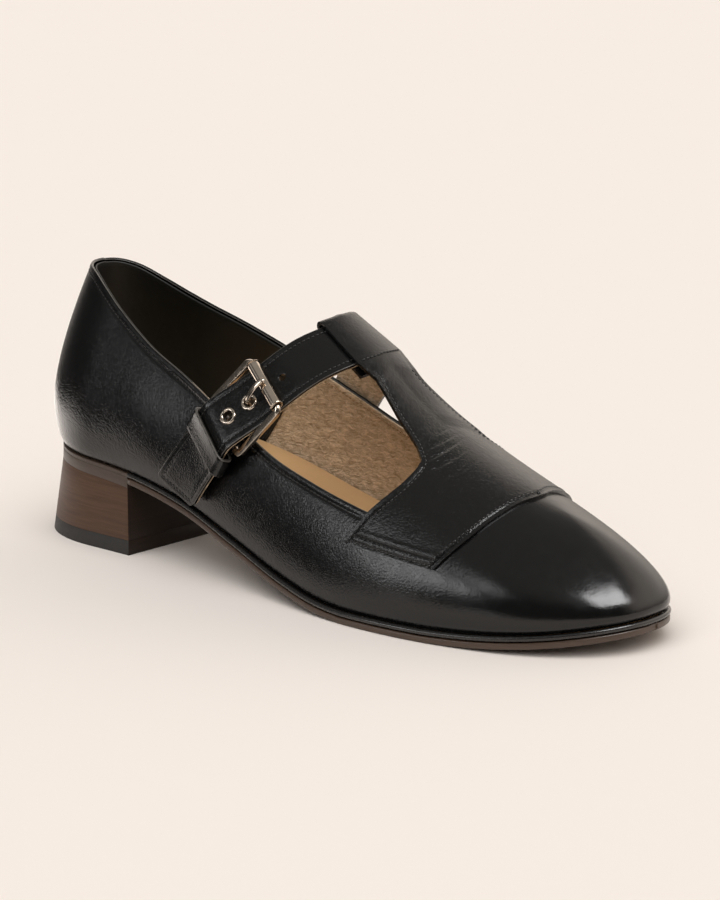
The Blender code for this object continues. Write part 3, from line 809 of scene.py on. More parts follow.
def grained(name, dark, light, roughness, grains, tint=None, **values):
    """Material with a bump for each grain, coloured by the first or by tint; roughness may be a range."""
    made, tree, shader = new_material(name, **values)
    heights = [noise(tree, grain) for grain in grains]
    bump(tree, shader, [(height, grain.strength, grain.depth) for height, grain in zip(heights, grains)])
    if isinstance(roughness, tuple):
        roughness = spread(tree, heights[0], NOISE_LOW, NOISE_HIGH, *roughness)
    feed(tree, shader.inputs["Roughness"], roughness)
    colour(tree, shader, noise(tree, tint) if tint else heights[0], dark, light)
    return made


def black_leather(name, grain, toe_grain=None):
    """Black calf with a fine grain; toe_grain is the grain over a stiffened toe."""
    made, tree, shader = new_material(name)
    soft = noise(tree, Grain(80, 2, 0.5))
    wrinkles = noise(tree, Grain(620, 3, 0.6, distortion=0.4))
    pores = noise(tree, Grain(1500, 2, 0.5))
    if toe_grain is not None:
        ahead = add(tree, "SeparateXYZ", Vector=place_of(tree)).outputs["X"]
        grain = spread(tree, ahead, STIFF_FROM, STIFF_TO, grain, toe_grain)
    bump(tree, shader, (
        (soft, 0.30, 0.40 * MM),
        (wrinkles, grain, 0.20 * MM),
        (pores, grain, 0.28 * MM),
        (cells(tree, 1300.0), grain, 0.05 * MM),
    ))
    polish = spread(tree, noise(tree, Grain(260)), NOISE_LOW, NOISE_HIGH, 0.14, 0.21)
    feed(tree, shader.inputs["Roughness"], polish)
    colour(tree, shader, wrinkles, (0.0022, 0.0021, 0.0021), (0.0042, 0.0041, 0.0041))
    return made


def tan_leather():
    """Glossy lining with small folds, with a painted highlight on the top of each fold."""
    made, tree, shader = new_material("tan_lining", Roughness=0.38, Coat_Weight=0.6, Coat_Roughness=0.25)
    folds = noise(tree, Grain(900, 3, 0.6, (0.45, 0.45, 1), 0.8))
    fine = noise(tree, Grain(1500, 2, 0.5))
    bump(tree, shader, ((folds, 0.9, 0.9 * MM), (fine, 0.7, 0.35 * MM)))
    # the tops of the folds are coloured lighter: painted highlight
    painted_fold_highlights = spread(tree, folds, NOISE_LOW, NOISE_HIGH)
    colour(tree, shader, painted_fold_highlights, (0.34, 0.235, 0.133), (0.79, 0.60, 0.41))
    return made


TWIST = Grain(3200, 1, 0.5, strength=0.3, depth=0.05 * MM)
UPPER_LEATHER = black_leather("black_calf_upper", 0.34, 0.10)
SADDLE_LEATHER = black_leather("black_calf_saddle", 0.42)
BLACK_LEATHER = black_leather("black_calf", 0.26)
TAN_LEATHER = tan_leather()
# rounded edges of the leather: a lighter cut edge, partly a painted highlight along the edges
EDGE_TONE_AND_HIGHLIGHT = grained(
    "black_calf_cut_edge_and_painted_highlight", (0.045, 0.041, 0.037), (0.13, 0.12, 0.108), 0.26,
    [Grain(900, 3, 0.6, strength=0.2, depth=0.06 * MM)])
SOCK_LEATHER = grained(
    "tan_sock", (0.60, 0.372, 0.176), (0.68, 0.425, 0.207), 0.5,
    [Grain(1500, 2, 0.5, strength=0.10, depth=0.04 * MM)], tint=Grain(40, 2))
DARK_LINING = grained(
    "dark_lining", (0.0062, 0.0066, 0.0054), (0.0102, 0.0107, 0.0088), 0.5,
    [Grain(1300, 3, 0.5, strength=0.2, depth=0.06 * MM)], tint=Grain(70, 2))
# black thread lightened to dark grey: partly a painted glint on each stitch
BLACK_THREAD_AND_GLINT = grained("black_thread_and_painted_glint", (0.010, 0.0095, 0.009), (0.026, 0.025, 0.024), 0.36, [TWIST])
TAN_THREAD = grained("tan_thread", (0.27, 0.165, 0.085), (0.40, 0.25, 0.135), 0.55, [TWIST])
BLACK_EDGE = grained(
    "black_edge", (0.006, 0.0055, 0.0055), (0.012, 0.011, 0.0105), (0.2, 0.34),
    [Grain(500, 3, 0.5, (1, 1, 6), strength=0.2, depth=0.06 * MM)],
    Coat_Weight=0.4, Coat_Roughness=0.15)
SOLE_LEATHER = grained(
    "brown_sole", (0.035, 0.02, 0.0125), (0.085, 0.05, 0.03), 0.38,
    [Grain(600, 3, 0.6, (0.15, 0.15, 3), strength=0.3, depth=0.08 * MM)],
    Coat_Weight=0.2, Coat_Roughness=0.25)
SEAT_LEATHER = grained(
    "heel_seat_leather", (0.05, 0.034, 0.025), (0.09, 0.062, 0.046), 0.5,
    [Grain(700, 3, 0.6, (0.2, 0.2, 2), strength=0.25, depth=0.06 * MM)])
BROWN_WOOD = grained(
    "brown_wood", (0.0315, 0.0155, 0.0092), (0.146, 0.075, 0.042), 0.48,
    [Grain(900, 5, 0.65, (0.05, 0.05, 1), 0.3, strength=0.25, depth=0.08 * MM),
     Grain(3200, 2, 0.5, (0.03, 0.03, 1), strength=0.25, depth=0.05 * MM)],
    Specular_IOR_Level=0.25)
# dark brown for the heel's breast and the eyelets' bores: painted shade where they fall in shadow
PAINTED_SHADE_BROWN = grained(
    "dark_brown_painted_shade", (0.011, 0.0060, 0.0036), (0.028, 0.0160, 0.0095), 0.55,
    [Grain(900, 4, 0.6, (1, 0.05, 1), strength=0.25, depth=0.08 * MM)], Specular_IOR_Level=0.3)
BLACK_RUBBER = grained(
    "black_rubber", (0.012, 0.011, 0.010), (0.022, 0.020, 0.0185), (0.48, 0.62),
    [Grain(1500, 3, 0.5, strength=0.2, depth=0.05 * MM)])
GOLD_METAL = grained(
    "pale_gold", (0.64, 0.545, 0.45), (0.72, 0.625, 0.525), (0.10, 0.22),
    [Grain(700, 3, 0.6, strength=0.06, depth=0.03 * MM)], Metallic=1.0)


# upper and lining

WALL_SECTIONS = 150
NEAR_RIM = np.array([0.0, 0.7, 1.1, 1.5, 1.9, 2.2, 2.5, 2.8, 3.1, 3.5, 4.0, 4.7, 5.6]) * MM
FAR_ROWS = 34
RIM_STITCH_AT = 2.6 * MM
RIM_STITCHED_TO = 158.0 * MM
RIM_GROOVE = 0.3 * MM
RIM_GROOVE_WIDTH = 0.55 * MM
RIM_BEAD = 0.18 * MM
RIM_BEAD_AT = 1.0 * MM
RIM_BEAD_WIDTH = 0.8 * MM
RIM_ROUND = 0.40 * MM
TUCK = 0.45 * MM
TUCK_RUN = 0.9 * MM
QUARTER_SWELL = 1.2 * MM
QUARTER_AT = 62.0 * MM
QUARTER_SPREAD = 26.0 * MM
LINING_DROP = 0.45 * MM
LINING_LAP = 5.0 * MM
LINING_ROWS = 28
LINING_ROUND = 0.2 * MM
LINING_STITCH_AT = 2.4 * MM
LINING_STITCHED = (86.0 * MM, 150.0 * MM)
VAMP_LINING_IN = OUTER_THICK + LAYER_GAP
HEEL_LINING_IN = VAMP_LINING_IN + LINING_THICK + LAYER_GAP
SEAM_LOW = 61.0 * MM
SEAM_HIGH = 84.0 * MM
SEAM_STITCH_AT = 1.3 * MM
SEAM_STITCHED = (0.06, 0.9)


def rim_rows(wall):
    """Distances below the rim for each wall, close together at the rim."""
    low = wall.length[:, None]
    start = NEAR_RIM[-1]
    near = np.broadcast_to(NEAR_RIM, (len(low), len(NEAR_RIM)))
    rest = start + (low - start) * np.linspace(0, 1, FAR_ROWS + 1)[None, 1:]
    return np.minimum(np.concatenate([near, rest], 1), low)


def make_upper():
    wall = Wall(np.arange(2 * WALL_SECTIONS) / WALL_SECTIONS)
    below = rim_rows(wall)
    x = foot(wall.turns)[:, :1]
    bead = RIM_BEAD * hump(below - RIM_BEAD_AT, RIM_BEAD_WIDTH)
    groove = RIM_GROOVE * hump(below - RIM_STITCH_AT, RIM_GROOVE_WIDTH)
    out = np.where(x < THROAT["x"][0], 1.0, 0.0) * (bead - groove)
    out = out - TUCK * np.exp((below - wall.length[:, None]) / TUCK_RUN)
    swell = QUARTER_SWELL * hump(x - QUARTER_AT, QUARTER_SPREAD)
    out = out + swell * np.sin(np.pi * below / wall.length[:, None])
    points = wall.points(below, -out)
    points = np.concatenate([points, points[:1]])
    made = sheet("upper_leather", points, UPPER_LEATHER, "black_leather", ("upper",))
    thicken(made, OUTER_THICK, -1.0, RIM_ROUND, 4, EDGE_TONE_AND_HIGHLIGHT)
    settle(made)


def make_upper_stitches():
    end = float(turn_at(RIM_STITCHED_TO))
    wall = Wall(np.linspace(-end, end, 700))
    below = np.full((len(wall.turns), 1), RIM_STITCH_AT)
    line = wall.points(below, RIM_GROOVE)[:, 0]
    normals = last_normal(wall.turns, wall.rise(below)[:, 0])
    stitch_piece("upper_stitches", [(line, normals)], BLACK_THREAD_AND_GLINT, "black_leather")


def seam_x(share):
    """Where the dark heel lining ends, at a share of the way down from the rim."""
    return SEAM_HIGH + (SEAM_LOW - SEAM_HIGH) * share


def lining_piece(name, turns, depth, skin, columns):
    """Lining sheet inside the wall: turns gives the first and last turn of each row from the rim down."""
    rows = []
    for share in np.linspace(0, 1, LINING_ROWS):
        wall = Wall(np.linspace(*turns(share), columns))
        top = np.where(wall.closed, 0.0, LINING_DROP)[:, None]
        rows.append(wall.points(top + (wall.length[:, None] - top) * share, depth)[:, 0])
    made = sheet(name, np.stack(rows, 1), skin, "tan_leather")
    thicken(made, LINING_THICK, -1.0, LINING_ROUND, 2)
    settle(made)


def make_linings():
    def vamp(share):
        start = float(turn_at(seam_x(share) - LINING_LAP))
        return start, 2 - start

    def heel(share):
        end = float(turn_at(seam_x(share)))
        return -end, end

    lining_piece("vamp_lining", vamp, VAMP_LINING_IN, TAN_LEATHER, 220)
    lining_piece("heel_lining", heel, HEEL_LINING_IN, DARK_LINING, 150)


def lining_row(turns, below, depth):
    wall = Wall(turns)
    below = np.reshape(below, (-1, 1))
    return wall.points(below, depth)[:, 0], -last_normal(turns, wall.rise(below)[:, 0])


def make_lining_stitches():
    rows = []
    seams = []
    for side in (1, -1):
        turns = turn_at(np.linspace(*LINING_STITCHED, 240)) * side
        below = np.full(turns.shape, LINING_STITCH_AT)
        rows.append(lining_row(turns, below, VAMP_LINING_IN + LINING_THICK))
        share = np.linspace(*SEAM_STITCHED, 120)
        turns = turn_at(seam_x(share) - SEAM_STITCH_AT) * side
        below = LINING_DROP + (Wall(turns).length - LINING_DROP) * share
        seams.append(lining_row(turns, below, HEEL_LINING_IN + LINING_THICK))
    stitch_piece("lining_stitches", rows, TAN_THREAD, "tan_leather")
    stitch_piece("seam_stitches", seams, BLACK_THREAD_AND_GLINT, "black_leather")


# sole and heel

WELT_SECTIONS = 220
WELT_BLEND = 2.0 * MM
WELT_SQUARE = 8
SLAB_COLUMNS = 14
SOLE_ROUND = 0.5 * MM
SOCK_ROUND = 0.4 * MM
SOLE_FROM = 0.004
SOLE_TO = 0.996
SEAT_GAP = 0.03 * MM
HEEL_EDGE_ROUND = 0.25 * MM
HEEL_SHARP = 35 * DEGREE
HEEL_START = 0.006
BREAST_FACING = 0.8


def edge_line(turn, out, height):
    """Line along the feather edge, moved out in plan, with a height for each x."""
    flat = foot(turn) + np.asarray(out)[..., None] * foot_out(turn)
    return np.concatenate([flat, height(flat[..., 0])[..., None]], -1)


def welt_out(turn):
    return read(EDGE, "out", foot(turn)[..., 0])


def make_welt():
    """Rounded bead around the sole, which turns square and flush with the heel seat behind the breast."""
    turns = np.arange(2 * WELT_SECTIONS) / WELT_SECTIONS
    heel = np.clip((HEEL_BREAST - foot(turns)[:, 0]) / WELT_BLEND + 0.5, 0, 1)
    half = (WELT_THICK + WELT_RISE * (1 - heel)) / 2
    middle = -GAP - WELT_THICK + half
    power = 2 / (2 + WELT_SQUARE * heel)
    loops = []
    for angle in np.linspace(-90, 90, 13) * DEGREE:
        level = middle + half * math.copysign(1, angle) * abs(math.sin(angle)) ** power
        out = welt_out(turns) - TREAD_SETBACK * heel - half * (1 - abs(math.cos(angle)) ** power)
        loops.append(edge_line(turns, out, lambda x: feather_height(x) + level))
    inner = np.full(turns.shape, -WELT_INSET)
    for level in (-GAP, -GAP - WELT_THICK):
        loops.append(edge_line(turns, inner, lambda x: feather_height(x) + level))
    made = tube("welt_edge", np.stack(loops), True, BLACK_EDGE, "black_edge", ("welt",))
    paint(made, SEAT_LEATHER, lambda face: face.center.x < HEEL_BREAST - CENTRE[0])


def slab_loops(share, out, low, high, rounding):
    """Closed loops across a layer of the sole from heel to toe, with its edges rounded."""
    profile = arc((rounding, rounding), rounding, 180, 270, 4)
    lines = []
    for turn in (share, 2 - share):
        side = []
        for inward, up in profile[::-1]:
            side.append(edge_line(turn, out - inward, lambda x: low(x) + up))
        for inward, down in profile:
            side.append(edge_line(turn, out - inward, lambda x: high(x) - down))
        lines.append(side)
    lateral, medial = lines
    spread_out = np.linspace(0, 1, SLAB_COLUMNS)[1:-1]
    bottom = [medial[0] * (1 - s) + lateral[0] * s for s in spread_out]
    top = [lateral[-1] * (1 - s) + medial[-1] * s for s in spread_out]
    return np.stack(lateral + top + medial[::-1] + bottom, 1)


def make_sole():
    def tread_top(x):
        return tread_height(x) + TREAD_THICK

    share = np.linspace(float(turn_at(HEEL_BREAST + LAYER_GAP)), SOLE_TO, 160)
    loops = slab_loops(share, welt_out(share) - TREAD_SETBACK, tread_height, tread_top, SOLE_ROUND)
    tube("sole_leather", loops, False, SOLE_LEATHER, "brown_sole", ("outsole",))


def make_sock():
    def low(x):
        return feather_height(x) - WELT_THICK - GAP

    def high(x):
        return feather_height(x) + INSOLE_RISE

    share = np.linspace(SOLE_FROM, SOLE_TO, 200)
    loops = slab_loops(share, np.full(share.shape, -INSOLE_INSET), low, high, SOCK_ROUND)
    tube("sock", loops, False, SOCK_LEATHER, "tan_leather", ("insole",))


def heel_lines(share, down, height):
    """Outer and inner line of the heel, flared back by the share down of its height."""
    lines = []
    for turn in (share, 2 - share):
        line = edge_line(turn, welt_out(share) - TREAD_SETBACK, tread_height)
        back = (HEEL_BREAST - line[:, 0]) / (HEEL_BREAST - HEEL_END)
        line[:, 0] = line[:, 0] - HEEL_FLARE * down * back
        line[:, 2] = height(line[:, 0])
        lines.append(line)
    return lines


def make_heel():
    def seat(x):
        return tread_height(x) + TREAD_THICK + GAP - SEAT_GAP

    def under_seat(x):
        return tread_height(x) - GAP - HEEL_LIFT_THICK

    def block_top(x):
        return under_seat(x) - LAYER_GAP

    def level(height):
        return lambda x: np.full(x.shape, height)

    tall = float(tread_height(np.array(HEEL_END)))
    split = 1 - TOP_PIECE_THICK / tall
    lift = HEEL_LIFT_THICK / tall
    layers = (
        ("heel_seat", SEAT_LEATHER, "brown_wood", (), (lift, under_seat), (0.0, seat)),
        ("heel_block", BROWN_WOOD, "brown_wood", ("heel",),
         (split, level(TOP_PIECE_THICK + LAYER_GAP)), (lift, block_top)),
        ("top_piece", BLACK_RUBBER, "black_rubber", ("heel_top_piece",),
         (1.0, level(0.0)), (split, level(TOP_PIECE_THICK))),
    )
    share = np.linspace(HEEL_START, float(turn_at(HEEL_BREAST)), 60)
    for name, skin, slot, replaces, low, high in layers:
        low_lines = heel_lines(share, *low)
        high_lines = heel_lines(share, *high)
        points = np.stack([low_lines[0], low_lines[1], high_lines[1], high_lines[0]], 1)
        made = tube(name, points, False, skin, slot, replaces)
        round_edges(made, HEEL_EDGE_ROUND, 2)
        settle(made)
        made.data.set_sharp_from_angle(angle=HEEL_SHARP)
        # the breast, the faces that look to the toe, gets the dark brown: painted shade
        paint(made, PAINTED_SHADE_BROWN, lambda face: face.normal.x > BREAST_FACING)


# saddle with its T-bar and loop

BAR_COLUMNS = 16
WING_COLUMNS = 60
SADDLE_ROWS = 120
BAR_ROWS = 52
# shares that leave the outermost row and column wide enough for a rounded edge
LAST_ROW = 0.022
LAST_COLUMN = 0.017
SADDLE_ROUND = 0.55 * MM
EDGE_STITCH_AT = 1.6 * MM
EDGE_GROOVE = 0.2 * MM
EDGE_GROOVE_WIDTH = 0.6 * MM
FRONT_DIP = 0.2 * MM
FRONT_DIP_AT = 0.6 * MM
FRONT_DIP_WIDTH = 0.9 * MM
WING_ROWS_AT = (1.3 * MM, 3.5 * MM)
WING_GROOVE = 1.3 * EDGE_GROOVE
WING_RIDGES_AT = (sum(WING_ROWS_AT) / 2, WING_ROWS_AT[1] + 1.2 * MM)
WING_RIDGE = 0.22 * MM
WING_RIDGE_WIDTH = 0.8 * MM
# share of the saddle over which the bar's edge becomes the wing's
WING_BLEND = 0.05
# distance from the front and rear edges at which the grooves on the wings begin, and over which they deepen
WING_ROWS_IN = 2.0 * MM
WING_ROWS_FADE = 1.0 * MM
WING_STITCHED = (0.05, 0.95)
LOOP_STITCHED = 0.86
LOOP_BEND = 75
# where the bar has come down to the saddle, and the length over which it does
BAR_REACH = 17.0 * MM
BAR_BLEND = 4.0 * MM


def saddle_edge(rows, share, side):
    side = np.broadcast_to(side, share.shape)
    across = read(rows, "across", share, "share") * np.where(side < 0, 1.0, MEDIAL_REACH)
    return read(rows, "ridge", share, "share"), across * np.where(side < 0, -1.0, 1.0)


def saddle_chart(share, side, t):
    """Stations and distances across the saddle, at shares t of the way from its rear to its front edge."""
    rear = saddle_edge(SADDLE_REAR, share, side)
    front = saddle_edge(SADDLE_FRONT, share, side)
    return [(1 - t) * back + t * ahead for back, ahead in zip(rear, front)]


def crease_dip(ridge_x, across):
    """Depth of the flexing creases at a place on the saddle, with a low ridge beside each."""
    dip = np.zeros(np.shape(ridge_x))
    for ridge, middle, half, depth, bow in zip(*CREASES.values()):
        reach = (across - middle) / half
        off = ridge_x - ridge - CREASE_SLANT * (across - middle) + bow * reach**2
        shape = hump(off, CREASE_WIDTH) - CREASE_RIDGE * hump(off - CREASE_RIDGE_AT, CREASE_WIDTH)
        dip = dip - depth * np.exp(-reach**4) * shape
    return dip


def groove(distance):
    """Depth of the groove of a row of stitches, at a distance from the edge beside it."""
    return EDGE_GROOVE * hump(distance - EDGE_STITCH_AT, EDGE_GROOVE_WIDTH)


def bar_points():
    """Rows of the loop around the strap and of the T-bar, down to the saddle."""
    bar = np.arange(-BAR_COLUMNS, BAR_COLUMNS + 1)
    part = bar / BAR_COLUMNS
    middle = (LOOP_OVER + LOOP_UNDER) / 2
    turn = (LOOP_OVER - LOOP_UNDER) / 2
    path = [(side, LOOP_UNDER) for side in np.linspace(LOOP_END, LOOP_BACK, 24)]
    path += list(arc((LOOP_BACK, middle), turn, 180 + LOOP_BEND, 180 - LOOP_BEND, 11))
    path += [(side, LOOP_OVER) for side in np.linspace(LOOP_BACK, LOOP_FRONT, 26)]
    rows = [strap_point(-LOOP_HALF_WIDTH * part, side, lift) for side, lift in path]
    for ridge_x in np.linspace(T_BAR["ridge"][0], T_BAR["ridge"][-1], BAR_ROWS):
        half = float(read(T_BAR, "half", ridge_x, "ridge"))
        across = half * part * np.where(bar < 0, 1.0, MEDIAL_REACH)
        station = np.full(bar.shape, ridge_x)
        lift = read(T_BAR, "lift", station, "ridge") + crease_dip(station, across)
        rows.append(chart_lifted(station, across, lift - groove(half * (1 - np.abs(part)))))
    return np.stack(rows)


def saddle_points():
    """Grid of the saddle, from its rear edge to its front edge."""
    wide = np.arange(-BAR_COLUMNS - WING_COLUMNS, BAR_COLUMNS + WING_COLUMNS + 1)
    winging = np.clip((np.abs(wide) - BAR_COLUMNS) / (WING_COLUMNS - 1), 0, 1)
    share = np.minimum(np.abs(wide) / BAR_COLUMNS, 1) * BAR_SHARE
    share = share + winging * (1 - LAST_COLUMN - BAR_SHARE)
    share = np.where(np.abs(wide) == BAR_COLUMNS + WING_COLUMNS, 1.0, share)
    t = np.concatenate([[0], np.linspace(LAST_ROW, 1 - LAST_ROW, SADDLE_ROWS - 2), [1]])[:, None]
    ridge_x, across = saddle_chart(share, wide, t)
    flat = chart_point(ridge_x, across)
    from_rear = run_along(flat)
    from_front = from_rear[-1] - from_rear
    from_left = run_along(flat, 1)
    from_wing = np.minimum(from_left, from_left[:, -1:] - from_left)
    winged = np.clip((share - BAR_SHARE) / WING_BLEND, 0, 1)
    inside = np.clip((np.minimum(from_rear, from_front) - WING_ROWS_IN) / WING_ROWS_FADE, 0, 1)
    lift = SADDLE_LIFT + crease_dip(ridge_x, across)
    lift = lift - winged * groove(from_rear)
    lift = lift - groove(from_front)
    lift = lift - FRONT_DIP * hump(from_front - FRONT_DIP_AT, FRONT_DIP_WIDTH)
    for away in WING_ROWS_AT:
        lift = lift - inside * WING_GROOVE * hump(from_wing - away, EDGE_GROOVE_WIDTH)
    for away in WING_RIDGES_AT:
        lift = lift + inside * WING_RIDGE * hump(from_wing - away, WING_RIDGE_WIDTH)
    return flat + lift[..., None] * chart_normal(ridge_x, across)


def make_saddle():
    bar = bar_points()
    saddle = saddle_points()
    start = bar.shape[0] * bar.shape[1]
    last_row = start - bar.shape[1]
    faces = grid_faces(*bar.shape[:2])
    for j in range(bar.shape[1] - 1):
        below = start + WING_COLUMNS + j
        faces.append((last_row + j, below, below + 1, last_row + j + 1))
    faces += grid_faces(*saddle.shape[:2], start)
    points = np.concatenate([bar.reshape(-1, 3), saddle.reshape(-1, 3)])
    made = piece("saddle_leather", points, faces, SADDLE_LEATHER, "black_leather", ("t_bar_saddle",))
    thicken(made, SADDLE_THICK, 1.0, SADDLE_ROUND, 5, EDGE_TONE_AND_HIGHLIGHT)
    settle(made)


def inset_line(ridge_x, across, distance):
    """Line moved to its left in the chart of the instep."""
    ahead = unit(np.gradient(np.stack([ridge_x, across], -1), axis=0))
    return ridge_x - distance * ahead[:, 1], across + distance * ahead[:, 0]


def saddle_top(ridge_x, across):
    """Height of the top of the bar and saddle above the last."""
    on_bar = read(T_BAR, "lift", ridge_x, "ridge")
    away = np.clip((ridge_x - T_BAR["ridge"][-1]) / BAR_BLEND, 0, 1)
    away = np.maximum(away, np.clip((np.abs(across) - BAR_REACH) / BAR_BLEND, 0, 1))
    return on_bar * (1 - away) + SADDLE_LIFT * away + SADDLE_THICK - EDGE_GROOVE


def chart_row(ridge_x, across):
    top = saddle_top(ridge_x, across)
    return chart_lifted(ridge_x, across, top), chart_normal(ridge_x, across)


def make_saddle_stitches():
    rows = []
    for side in (-1, 1):
        ridge = np.linspace(T_BAR["ridge"][0], T_BAR["ridge"][-1], 60)
        half = read(T_BAR, "half", ridge, "ridge") * (1.0 if side < 0 else MEDIAL_REACH)
        rear = saddle_edge(SADDLE_REAR, np.linspace(BAR_SHARE, 1.0, 90), side)
        station = np.concatenate([ridge, rear[0]])
        across = np.concatenate([half * side, rear[1]])
        front = saddle_edge(SADDLE_FRONT, np.linspace(0.0, 1.0, 120), side)
        inset = side * EDGE_STITCH_AT
        for line in (inset_line(station, across, -inset), inset_line(*front, inset)):
            rows.append(chart_row(line[0][:-4], line[1][:-4]))
        for away in WING_ROWS_AT:
            t = np.linspace(*WING_STITCHED, 80)
            low = np.full(t.shape, 1 - away / SADDLE_REAR["across"][-1])
            rows.append(chart_row(*saddle_chart(low, side, t)))
    along = -LOOP_HALF_WIDTH * np.linspace(-LOOP_STITCHED, LOOP_STITCHED, 30)
    line = strap_point(along, LOOP_FRONT - LOOP_STITCH_AT, LOOP_OVER + SADDLE_THICK)
    rows.append((line, strap_frame(along)[2]))
    stitch_piece("saddle_stitches", rows, BLACK_THREAD_AND_GLINT, "black_leather")


# strap, keeper and tab

STRAP_ROWS = 240
STRAP_COLUMNS = 31
STRAP_STITCH_AT = 2.0 * MM
STRAP_GROOVE = 0.14 * MM
STRAP_GROOVE_WIDTH = 0.5 * MM
STRAP_ROUND = 0.3 * MM
STRAP_GAP = 0.04 * MM
STRAP_LINING_INSET = 0.1 * MM
STRAP_LINING_ROUND = 0.15 * MM
TAIL_ROUND = 2.0 * MM
TAIL_STITCH_GAP = 0.8 * MM
SEWN_ROUND = 1.2 * MM
LINING_HOLE_MORE = 1.0 * MM
KEEPER_EDGE_ROUND = 0.42 * MM
TAB_ROUND = 0.2 * MM
TAB_COLUMNS = 6
TAB_SLOT_ROWS = 20


def tail_end(side):
    """Where the slanted tail ends, at a distance to the side of the strap's middle line."""
    return STRAP_TO - TAIL_SLANT * (side / STRAP_WIDTH + 0.5)


def strap_points(lift, groove_depth, inset):
    """Grid of a layer of the strap, with its tail slanted and its corners rounded."""
    half = STRAP_WIDTH / 2 - inset
    side = np.linspace(-half, half, STRAP_COLUMNS)

    def rounded(radius):
        past = np.maximum(np.abs(side) - half + radius, 0)
        return radius - np.sqrt(np.maximum(radius**2 - past**2, 0))

    end = tail_end(side) - rounded(TAIL_ROUND) - inset
    start = STRAP_FROM + rounded(SEWN_ROUND) + inset
    along = start + (end - start) * np.linspace(0, 1, STRAP_ROWS)[:, None]
    from_edge = np.minimum(half - np.abs(side)[None, :], np.minimum(along - start, end - along))
    height = strap_lift(along) + lift - groove_depth * hump(from_edge - STRAP_STITCH_AT, STRAP_GROOVE_WIDTH)
    return strap_point(along, side[None, :], height)


def make_strap():
    low = STRAP_LINING + STRAP_GAP
    points = strap_points(low, STRAP_GROOVE, 0.0)
    made = sheet("strap_leather", points, BLACK_LEATHER, "black_leather", ("strap",))
    thicken(made, STRAP_THICK - STRAP_LINING - STRAP_GAP, 1.0, STRAP_ROUND, 3, EDGE_TONE_AND_HIGHLIGHT)
    cut_holes(made)
    made = sheet("strap_lining", strap_points(0.0, 0.0, STRAP_LINING_INSET), TAN_LEATHER, "tan_leather")
    thicken(made, STRAP_LINING, 1.0, STRAP_LINING_ROUND, 2)
    cut_holes(made, LINING_HOLE_MORE)


def eyelet_frame(place):
    """Middle of the strap's underside at an eyelet, and directions along, out of and across it."""
    slope = (strap_lift(place + MM) - strap_lift(place - MM)) / (2 * MM)
    _, ahead, normal, across = strap_frame(np.array(place))
    ahead = unit(ahead + slope * normal)
    return strap_point(place, 0.0, strap_lift(place)), ahead, np.cross(ahead, across), across


def cut_holes(made, more=0.0):
    """Drills the strap at its eyelets and at the plain hole, which is wider by more."""
    drills = []
    holes = {name: (place, EYELET_HOLE) for name, place in EYELETS.items()}
    holes["spare_hole"] = (SPARE_HOLE_AT, SPARE_HOLE + more)
    for name, (place, radius) in holes.items():
        origin, _, normal, _ = eyelet_frame(place)
        bpy.ops.mesh.primitive_cylinder_add(vertices=32, radius=radius, depth=4 * STRAP_THICK)
        drill = bpy.context.object
        drill.location = Vector(origin + normal * STRAP_THICK / 2 - CENTRE)
        drill.rotation_euler = Vector(normal).to_track_quat("Z", "Y").to_euler()
        cut = made.modifiers.new("cut for " + name, "BOOLEAN")
        cut.operation = "DIFFERENCE"
        cut.object = drill
        drills.append(drill)
    settle(made)
    for drill in drills:
        bpy.data.objects.remove(drill, do_unlink=True)


def strap_row(along, side, lift):
    along, side = np.broadcast_arrays(along, side)
    return strap_point(along, side, strap_lift(along) + lift), strap_frame(along)[2]


def make_strap_stitches():
    top = STRAP_THICK - STRAP_GROOVE
    edge = STRAP_WIDTH / 2 - STRAP_STITCH_AT
    sewn = STRAP_FROM + STRAP_STITCH_AT
    box = sewn + 2 * edge
    rows = []
    for side in (-edge, edge):
        end = tail_end(side) - STRAP_STITCH_AT - TAIL_STITCH_GAP
        rows.append(strap_row(np.linspace(sewn, end, 500), side, top))
    side = np.linspace(-edge, edge, 40)
    for along in (tail_end(side) - STRAP_STITCH_AT, sewn):
        rows.append(strap_row(along, side, top))
    for along in (box, np.linspace(sewn, box, 40), np.linspace(box, sewn, 40)):
        rows.append(strap_row(along, side, STRAP_THICK))
    stitch_piece("strap_stitches", rows, BLACK_THREAD_AND_GLINT, "black_leather")


def rounded_loop(wide, low, high, radius, steps=7):
    """Side and height of points around a rectangle with rounded corners."""
    points = []
    corners = ((wide, high, 0), (-wide, high, 90), (-wide, low, 180), (wide, low, 270))
    for side, height, start in corners:
        middle = (side - math.copysign(radius, side), height + (radius if height == low else -radius))
        points.append(arc(middle, radius, start, start + 90, steps))
    return np.concatenate(points)


def make_keeper():
    loops = []
    for grow in (0.0, KEEPER_THICK):
        made = []
        for along in np.linspace(KEEPER_FROM, KEEPER_TO, 9):
            low = float(tab_lift(along)) - GAP - grow
            high = float(strap_lift(along)) + STRAP_THICK + GAP + grow
            outline = rounded_loop(STRAP_WIDTH / 2 + KEEPER_SPARE + grow, low, high, KEEPER_ROUND + grow)
            made.append(strap_point(along, outline[:, 0], outline[:, 1]))
        loops += made if grow == 0.0 else made[::-1]
    made = tube("keeper_band", np.stack(loops), True, BLACK_LEATHER, "black_leather", ("keeper",))
    round_edges(made, KEEPER_EDGE_ROUND, 4, EDGE_TONE_AND_HIGHLIGHT)
    settle(made)


